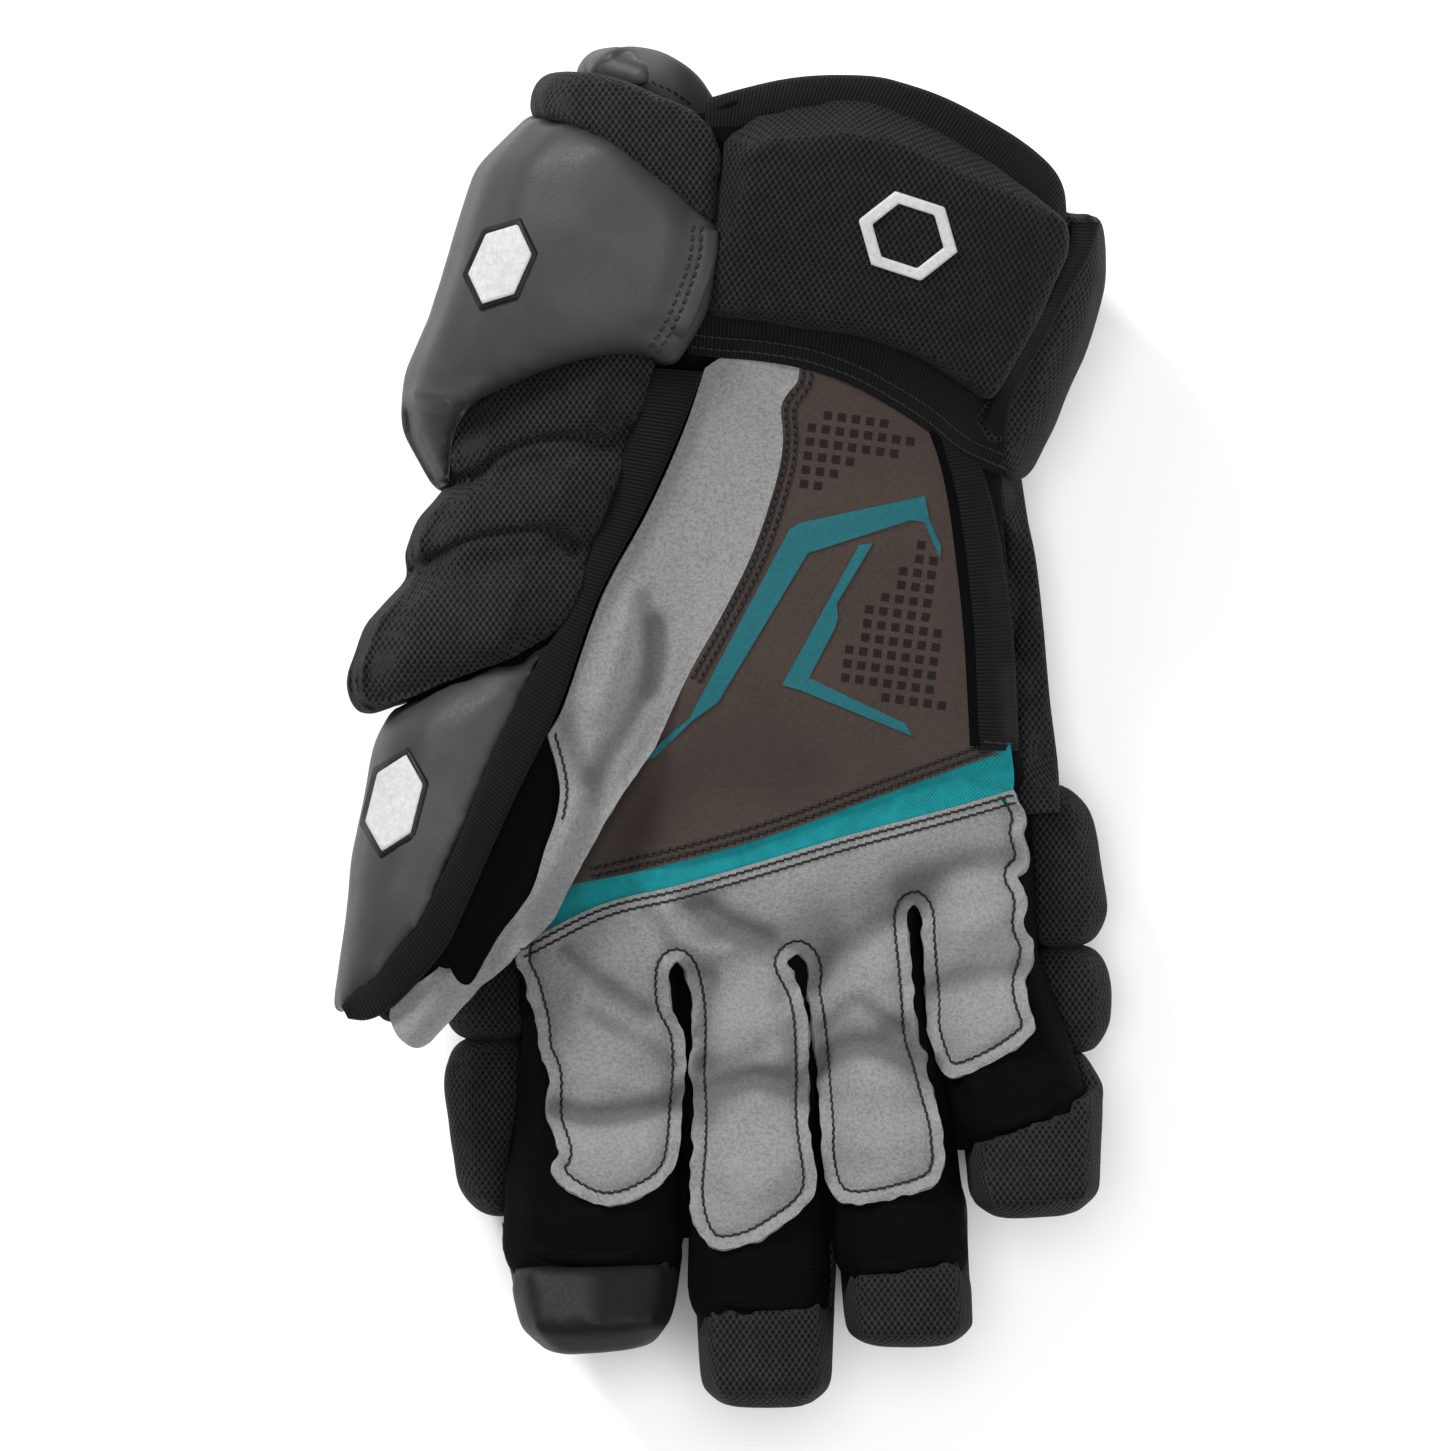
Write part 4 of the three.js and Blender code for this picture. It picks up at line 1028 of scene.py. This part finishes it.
TAPE_TOP = [(690, 303), (730, 308), (797, 314), (864, 324), (918, 341), (958, 368), (985, 392), (1008, 424)]
TAPE_BOTTOM = [(688, 354), (720, 358), (757, 361), (805, 369), (851, 385), (891, 407), (923, 428),
               (958, 456), (1002, 476)]
cuff_tape = ribbon(
    "cuff_seam_tape", TAPE_TOP, TAPE_BOTTOM, tree_of(*cad("cuff_palm_tape")), TAPE,
    ["cuff_palm_tape"], crown=1.3 * MM, thickness=3 * MM, seed=3)

EDGE_LEFT = [(930, 420), (947, 462), (957, 505), (965, 560), (973, 640), (978, 751)]
EDGE_RIGHT = [(962, 412), (980, 462), (993, 505), (1004, 560), (1014, 640), (1019, 751)]
edge_tape = ribbon(
    "palm_side_tape", EDGE_LEFT, EDGE_RIGHT,
    tree_of(brown_sheet, *cad("palm_edge_binding", "hand_shell_palm")), TAPE,
    ["palm_edge_binding"], crown=1.2 * MM, lift=1.1 * MM, thickness=4 * MM, rounds=12, seed=4)

# The plain edge of the lining, just inside the side tape.
LINING_LEFT = [(926, 424), (940, 464), (949, 508), (956, 562), (964, 640), (970, 746)]
LINING_RIGHT = [(934, 424), (951, 464), (961, 508), (969, 562), (977, 640), (982, 746)]
side_lining = ribbon(
    "palm_side_lining", LINING_LEFT, LINING_RIGHT, tree_of(brown_sheet), KNIT, crown=0.7 * MM,
    lift=0.4 * MM, thickness=1.5 * MM, columns=7, seed=12)

RIM_OUTER = [(705, 99), (744, 88), (784, 79), (824, 75), (872, 76), (904, 83), (944, 97), (985, 118),
             (1025, 143), (1052, 167), (1064, 189), (1067, 216)]
RIM_INNER = [(706, 172), (724, 154), (757, 136), (797, 126), (840, 120), (872, 123), (918, 140), (958, 160),
             (998, 190), (1026, 214), (1040, 230), (1048, 246)]
cuff_rim = ribbon(
    "cuff_rim_tape", RIM_OUTER, RIM_INNER, tree_of(*cad("cuff_palm_rim")), TAPE,
    ["cuff_palm_rim"], crown=3.0 * MM, lift=-2.0 * MM, thickness=5 * MM, columns=15, roundness=2, seed=5)

# The mesh panel down the outer side of the hand, from the side tape to the back.
PANEL_LEFT = [(986, 440), (998, 505), (1006, 560), (1013, 640), (1016, 751), (1014, 815)]
PANEL_RIGHT = [(1020, 468), (1028, 520), (1036, 560), (1043, 621), (1050, 700), (1058, 765), (1060, 812)]
side_panel = ribbon(
    "hand_side_panel", PANEL_LEFT, PANEL_RIGHT,
    tree_of(*cad("palm_edge_binding", "hand_shell_palm", "back_roll_1", "back_roll_2", "back_roll_3")),
    MESH_BLACK, crown=3.0 * MM, lift=0.6 * MM, thickness=16 * MM, columns=15, rounds=90,
    roundness=2.0, wave=0.3 * MM, seed=8)

# The binding between the wrist pad and the flank.
FLANK_LEFT = [(1070, 222), (1066, 246), (1050, 290), (1022, 345), (996, 392), (980, 424)]
FLANK_RIGHT = [(1100, 222), (1092, 252), (1070, 292), (1042, 345), (1014, 396), (1006, 440)]
flank_binding = ribbon(
    "flank_binding", FLANK_LEFT, FLANK_RIGHT, tree_of(pads["cuff_flank_pad"], pads["wrist_pad"]), TAPE,
    crown=1.6 * MM, lift=0.4 * MM, thickness=4 * MM, rounds=60, wave=0.3 * MM, seed=9)

# The smooth facing of the top flap.
FLAP_OUTER = [(585, 79), (593, 63), (606, 53), (622, 47), (640, 47), (662, 52), (684, 64), (700, 78), (713, 97)]
FLAP_INNER = [(590, 92), (606, 94), (622, 97), (640, 103), (658, 112), (674, 122), (690, 134), (702, 144), (714, 156)]
flap_facing = ribbon(
    "top_flap_facing", FLAP_OUTER, FLAP_INNER, tree_of(pads["top_flap"], pads["cuff_back_pad"]), LEATHER,
    crown=1.6 * MM, lift=1.0 * MM, thickness=4 * MM, columns=15, rounds=60, seed=14)

# The knitted walls between the fingers.
FINGER_WEBS = {
    "index_middle": (("index", "middle"), [(670, 985), (675, 1050), (677, 1110), (675, 1170), (668, 1238)],
                     [(702, 985), (704, 1050), (704, 1110), (702, 1170), (690, 1238)]),
    "middle_ring": (("middle", "ring"), [(800, 985), (812, 1060), (816, 1130), (818, 1190), (820, 1240)],
                    [(832, 985), (840, 1060), (844, 1130), (848, 1190), (850, 1240)]),
    "ring_little": (("ring", "little"), [(916, 940), (930, 1020), (944, 1090), (950, 1150)],
                    [(946, 940), (956, 1020), (970, 1090), (972, 1150)]),
}
for number, (name, (pair, left, right)) in enumerate(FINGER_WEBS.items()):
    ribbon(f"{name}_web", left, right, tree_of(*(liners[f"{finger}_sleeve"] for finger in pair)), KNIT,
           crown=1.0 * MM, lift=-3.5 * MM, thickness=8 * MM, rounds=40, seed=90 + number)

# Each finger's knitted sleeve ends in a soft roll over the cap of its tip.
SLEEVE_ROLLS = {
    "index": ([(502, 1222), (524, 1238), (562, 1247), (610, 1250), (670, 1244)],
              [(504, 1240), (524, 1254), (562, 1264), (612, 1266), (668, 1262)]),
    "middle": ([(692, 1282), (716, 1290), (762, 1296), (828, 1292)],
               [(694, 1298), (716, 1306), (762, 1311), (826, 1308)]),
    "ring": ([(840, 1252), (880, 1258), (926, 1252), (966, 1240)],
             [(842, 1268), (880, 1274), (928, 1268), (966, 1256)]),
    "little": ([(968, 1124), (1010, 1114), (1048, 1098), (1076, 1074)],
               [(974, 1140), (1014, 1130), (1054, 1114), (1080, 1090)]),
}
for number, (finger, (upper, lower)) in enumerate(SLEEVE_ROLLS.items()):
    ribbon(f"{finger}_sleeve_roll", upper, lower, tree_of(liners[f"{finger}_sleeve"], pads[f"{finger}_tip_pad"]),
           KNIT, crown=1.3 * MM, lift=0.1 * MM, thickness=3 * MM, rounds=30, wave=0.3 * MM,
           droop=5 * MM, seed=70 + number)

# The thumb wrap's front edge is folded back and sewn down twice.
LIP_LEFT = [(700, 226), (697, 260), (680, 308), (666, 336), (648, 362)]
LIP_RIGHT = [(719, 231), (716, 262), (699, 311), (686, 336), (668, 366)]
wrap_tree = tree_of(pads["thumb_wrap"])
wrap_lip = ribbon("wrap_folded_lip", LIP_LEFT, LIP_RIGHT, wrap_tree, LEATHER, crown=0.9 * MM,
                  lift=0.5 * MM, thickness=3 * MM, rounds=60, wave=0.3 * MM, seed=6)

# Stitches

def stitches(name, lines, tree, length=8.6, gap=-0.4, radius=0.32 * MM, slant=0.9, lift=0.1 * MM):
    """Rows of sewn threads along lines of pixels. Each thread rises from the cloth and dips back."""
    rings, sides = 5, 6
    points, faces = [], []
    turns = [2 * math.pi * j / sides for j in range(sides)]
    for line in lines:
        line = spaced(line, length + gap)
        for k, (a, b) in enumerate(zip(line, line[1:])):
            way = (b - a) / np.linalg.norm(b - a)
            side = np.array([way[1], -way[0]])
            a = a + side * slant
            b = a + way * length - 2 * side * slant
            start = len(points)
            path = []
            for i in range(rings):
                t = i / (rings - 1)
                dip = -0.45 * radius if i in (0, rings - 1) else 0.3 * radius
                at = a * (1 - t) + b * t
                path.append(on_surface(tree, at[0], at[1], lift + dip))
            ahead = (path[-1] - path[0]).normalized()
            across = ahead.cross(Vector((0, 0, 1))).normalized()
            up = across.cross(ahead)
            for i, p in enumerate(path):
                r = radius * (0.75 if i in (0, rings - 1) else 1.0)
                points += [p + across * (r * math.cos(q)) + up * (r * math.sin(q)) for q in turns]
            for i in range(rings - 1):
                for j in range(sides):
                    m = (j + 1) % sides
                    base = start + i * sides
                    faces.append((base + j, base + m, base + sides + m, base + sides + j))
            faces.append(tuple(start + j for j in range(sides))[::-1])
            faces.append(tuple(start + (rings - 1) * sides + j for j in range(sides)))
    mesh = mesh_from(name, points, faces)
    facing_out(mesh)
    return finished(new_object(name, mesh), THREAD)


def beside(line, distance):
    """The same line moved sideways by a distance in pixels, to its left where it is positive."""
    line = curved(line, 3.0)
    return line + sides_of(line) * distance


def sewn_inside(line, outline, distance):
    """A stitch line that keeps its distance inside a ragged edge."""
    moved = [beside(line, s * distance) for s in (1, -1)]
    keep = [m[inside(m, outline)] for m in moved]
    best = max(keep, key=len)
    return [run for run in split_where(best, distance_to(best, curved(line, 3.0)) > distance * 0.93)]


def split_where(line, good, shortest=5):
    runs, current = [], []
    for point, ok in zip(line, good):
        if ok and (not current or np.linalg.norm(point - current[-1]) < 16):
            current.append(point)
            continue
        if len(current) > shortest:
            runs.append(np.array(current))
        current = [point] if ok else []
    if len(current) > shortest:
        runs.append(np.array(current))
    return runs


palm_tree = tree_of(finger_sheet, thumb_sheet, brown_sheet, strip_sheet)
finger_outline = np.vstack([curved(FINGER_SEAM, 4), curved(FINGER_RAW, 4)])
finger_rows = sewn_inside(FINGER_RAW, finger_outline, 12.5)
finger_rows += [beside(FINGER_SEAM, -5), beside(FINGER_SEAM, -13)]
finger_thread = stitches("finger_palm_stitches", finger_rows, palm_tree)

BROWN_SEAM = BROWN_LEFT[:-3]
BROWN_HEM = [(592, 882), *BROWN_BOTTOM[1:]]
brown_rows = [beside(BROWN_SEAM, 5), beside(BROWN_SEAM, 13), beside(BROWN_HEM, 5), beside(BROWN_HEM, 13)]
brown_thread = stitches("palm_centre_stitches", brown_rows, palm_tree, radius=0.4 * MM, slant=1.2)

thumb_thread = stitches("palm_thumb_stitches", [beside([(548, 735), (557, 768), (560, 792), (556, 818)], 7)],
                        palm_tree)
tape_thread = stitches("cuff_tape_stitches", [beside(TAPE_BOTTOM, 8), beside(TAPE_BOTTOM, 20)],
                       tree_of(cuff_tape), slant=0.5)
wrap_thread = stitches("wrap_lip_stitches", [beside(LIP_LEFT, 2), beside(LIP_LEFT, -7)], tree_of(wrap_lip, pads["thumb_wrap"]),
                       length=6.5, gap=3)
edge_thread = stitches("side_tape_stitches", [[(984, 742), (1012, 744)]], tree_of(edge_tape), slant=0.3)

flap_thread = stitches("top_flap_stitches", [[(628, 78), (652, 82), (674, 92), (694, 106)]], tree_of(flap_facing),
                       length=5.0, gap=3.0, radius=0.28 * MM, slant=0.6)
# The grip bands, the perforations and the plain marks

GRIP_CORNERS = {
    "grip_band_1": [(925, 496), (799, 523), (789, 530), (689, 719), (664, 739), (643, 762), (655, 757), (693, 720),
                    (718, 702), (808, 553), (911, 520), (924, 522), (935, 546), (940, 559), (941, 546), (929, 519)],
    "grip_band_2": [(873, 543), (859, 545), (782, 685), (800, 690), (809, 678), (835, 628), (838, 618), (837, 603)],
    "grip_band_2_arm": [(809, 678), (800, 690), (912, 736), (906, 724)],
}
GRIP_NODES = {"grip_band_1": ["palm_grip_band_1"], "grip_band_2": ["palm_grip_band_2"]}
for number, (name, corners) in enumerate(GRIP_CORNERS.items(), start=1):
    sides = [("sewn", [a, b]) for a, b in zip(corners, corners[1:] + corners[:1])]
    band, _ = cloth_sheet(name, sides, [brown_sheet], TEAL, TEAL, GRIP_NODES.get(name, []),
                          lift=0.35 * MM, thickness=0.5 * MM, rounds=4, seed=80 + number)


def perforations(name, fields, tree, side=8.4, pitch=14.2, turn=8.0):
    """Small square holes punched in rows inside some outlines, each a flat dark square: the lining seen through it and
    painted shade in it.
    """
    angle = math.radians(turn)
    ax = np.array([math.cos(angle), math.sin(angle)])
    ay = np.array([-ax[1], ax[0]])
    points, faces = [], []
    for field in fields:
        field = np.asarray(field, dtype=float)
        middle = field.mean(0)
        reach = range(-20, 21)
        centres = np.array([middle + ax * (i * pitch) + ay * (j * pitch) for i in reach for j in reach])
        for centre in centres[inside(centres, field)]:
            start = len(points)
            for u in (-0.5, 0, 0.5):
                for v in (-0.5, 0, 0.5):
                    at = centre + ax * (u * side) + ay * (v * side)
                    points.append(on_surface(tree, at[0], at[1], 0.06 * MM))
            for i in range(2):
                for j in range(2):
                    a = start + 3 * i + j
                    faces.append((a, a + 3, a + 4, a + 1))
    mesh = mesh_from(name, points, faces)
    return finished(new_object(name, mesh), PUNCHED)


PERFORATED = [
    [(820, 400), (862, 414), (918, 437), (906, 452), (872, 458), (834, 482), (800, 492), (804, 446)],
    [(921, 534), (934, 550), (943, 714), (912, 711), (842, 680), (836, 664), (874, 600), (901, 566)],
]
holes = perforations("palm_perforations", PERFORATED, tree_of(brown_sheet))


def patch(name, outline, tree, material, lift=0.5 * MM, thickness=0.6 * MM, inner=0.0, rings=9):
    """A flat mark stuck on a surface: an outline of pixels, or the band between it and a smaller copy."""
    rim = spaced(np.asarray(outline, dtype=float), 3.0, closed=True)
    middle = rim.mean(0)
    shares = np.linspace(1, max(inner, 0.12), rings)
    flat = np.vstack([middle + (rim - middle) * s for s in shares])
    count = len(rim)
    index = np.arange(rings * count).reshape(rings, count)
    edges = np.vstack([grid_edges(rings, count), np.column_stack([index[:, -1], index[:, 0]])])
    z, known = heights(tree, flat)
    z = evened(z, known, edges, 10) + lift
    upper, lower = placed(flat, z), placed(flat, z - thickness)
    faces = []
    total = rings * count
    for i in range(rings - 1):
        for j in range(count):
            a, b = index[i, j], index[i, (j + 1) % count]
            c, d = index[i + 1, (j + 1) % count], index[i + 1, j]
            faces += [(a, b, c, d), (total + d, total + c, total + b, total + a)]
    for i in (0, rings - 1) if inner else (0,):
        for j in range(count):
            a, b = index[i, j], index[i, (j + 1) % count]
            faces.append((a, total + a, total + b, b))
    if not inner:
        faces.append(tuple(int(v) for v in index[-1]))
        faces.append(tuple(int(total + v) for v in index[-1]))
    mesh = mesh_from(name, np.vstack([upper, lower]), [tuple(int(v) for v in f) for f in faces])
    facing_out(mesh)
    return finished(new_object(name, mesh), material)


def polygon(centre, radius, corners, turn=0.0, stretch=1.0, lean=0.0):
    """A regular outline in pixels, stretched along its own upright axis and then leaned."""
    lean = math.radians(lean)
    points = []
    for k in range(corners):
        angle = math.radians(turn) + 2 * math.pi * k / corners
        x, y = radius * math.cos(angle), radius * stretch * math.sin(angle)
        points.append((centre[0] + x * math.cos(lean) - y * math.sin(lean),
                       centre[1] + x * math.sin(lean) + y * math.cos(lean)))
    return points


pad_tree = tree_of(pads["wrist_pad"])
patch("pad_mark", polygon((908, 236), 52, 6, 0, 0.86, 18), pad_tree, WHITE, inner=0.72, rings=5)
patch("wrap_mark_edge", polygon((500, 264), 35, 6, 30, 1.45, 24), wrap_tree, BLACK, lift=0.5 * MM)
patch("wrap_mark", polygon((500, 264), 29, 6, 30, 1.5, 24), wrap_tree, WHITE, lift=0.9 * MM)
thumb_tree = tree_of(pads["thumb_shell_pad"])
patch("thumb_mark_edge", polygon((394, 803), 33, 6, 30, 1.75, 14), thumb_tree, BLACK, lift=0.5 * MM)
patch("thumb_mark", polygon((394, 803), 27, 6, 30, 1.85, 14), thumb_tree, WHITE, lift=0.9 * MM)

# The stage, the lights and the camera

def plane(name, size, z):
    half = size / 2
    corners = [(-half, -half, z), (half, -half, z), (half, half, z), (-half, half, z)]
    return new_object(name, mesh_from(name, corners, [(0, 1, 2, 3)]), smooth=False)


floor = plane("floor", 6.0, -0.0005)
floor_look = Shader("pale floor", (0.92, 0.92, 0.92), 0.9)
floor.data.materials.append(floor_look.material)


def softbox(name, where, aim, size, power):
    light = bpy.data.lights.new(name, "AREA")
    light.shape = "DISK"
    light.size = size
    light.energy = power
    obj = bpy.data.objects.new(name, light)
    obj.location = where
    obj.rotation_euler = (Vector(aim) - Vector(where)).to_track_quat("-Z", "Y").to_euler()
    bpy.context.scene.collection.objects.link(obj)


softbox("key light", (-0.8, 1.05, 1.0), (0, 0, 0.03), 0.6, 34)
softbox("fill light", (0.95, -0.5, 1.0), (0, 0, 0.03), 1.0, 8)
softbox("top light", (0.0, 0.0, 1.7), (0, 0, 0), 0.9, 16)

world = bpy.data.worlds.new("studio")
world.use_nodes = True
world.node_tree.nodes["Background"].inputs["Color"].default_value = (1, 1, 1, 1)
world.node_tree.nodes["Background"].inputs["Strength"].default_value = 0.36
bpy.context.scene.world = world
bpy.context.scene.view_settings.view_transform = "Standard"

camera_data = bpy.data.cameras.new("camera")
camera_data.lens = LENS
camera_data.sensor_width = SENSOR
camera_data.clip_end = 10
camera = bpy.data.objects.new("camera", camera_data)
camera.location = CAMERA
bpy.context.scene.collection.objects.link(camera)
bpy.context.scene.camera = camera
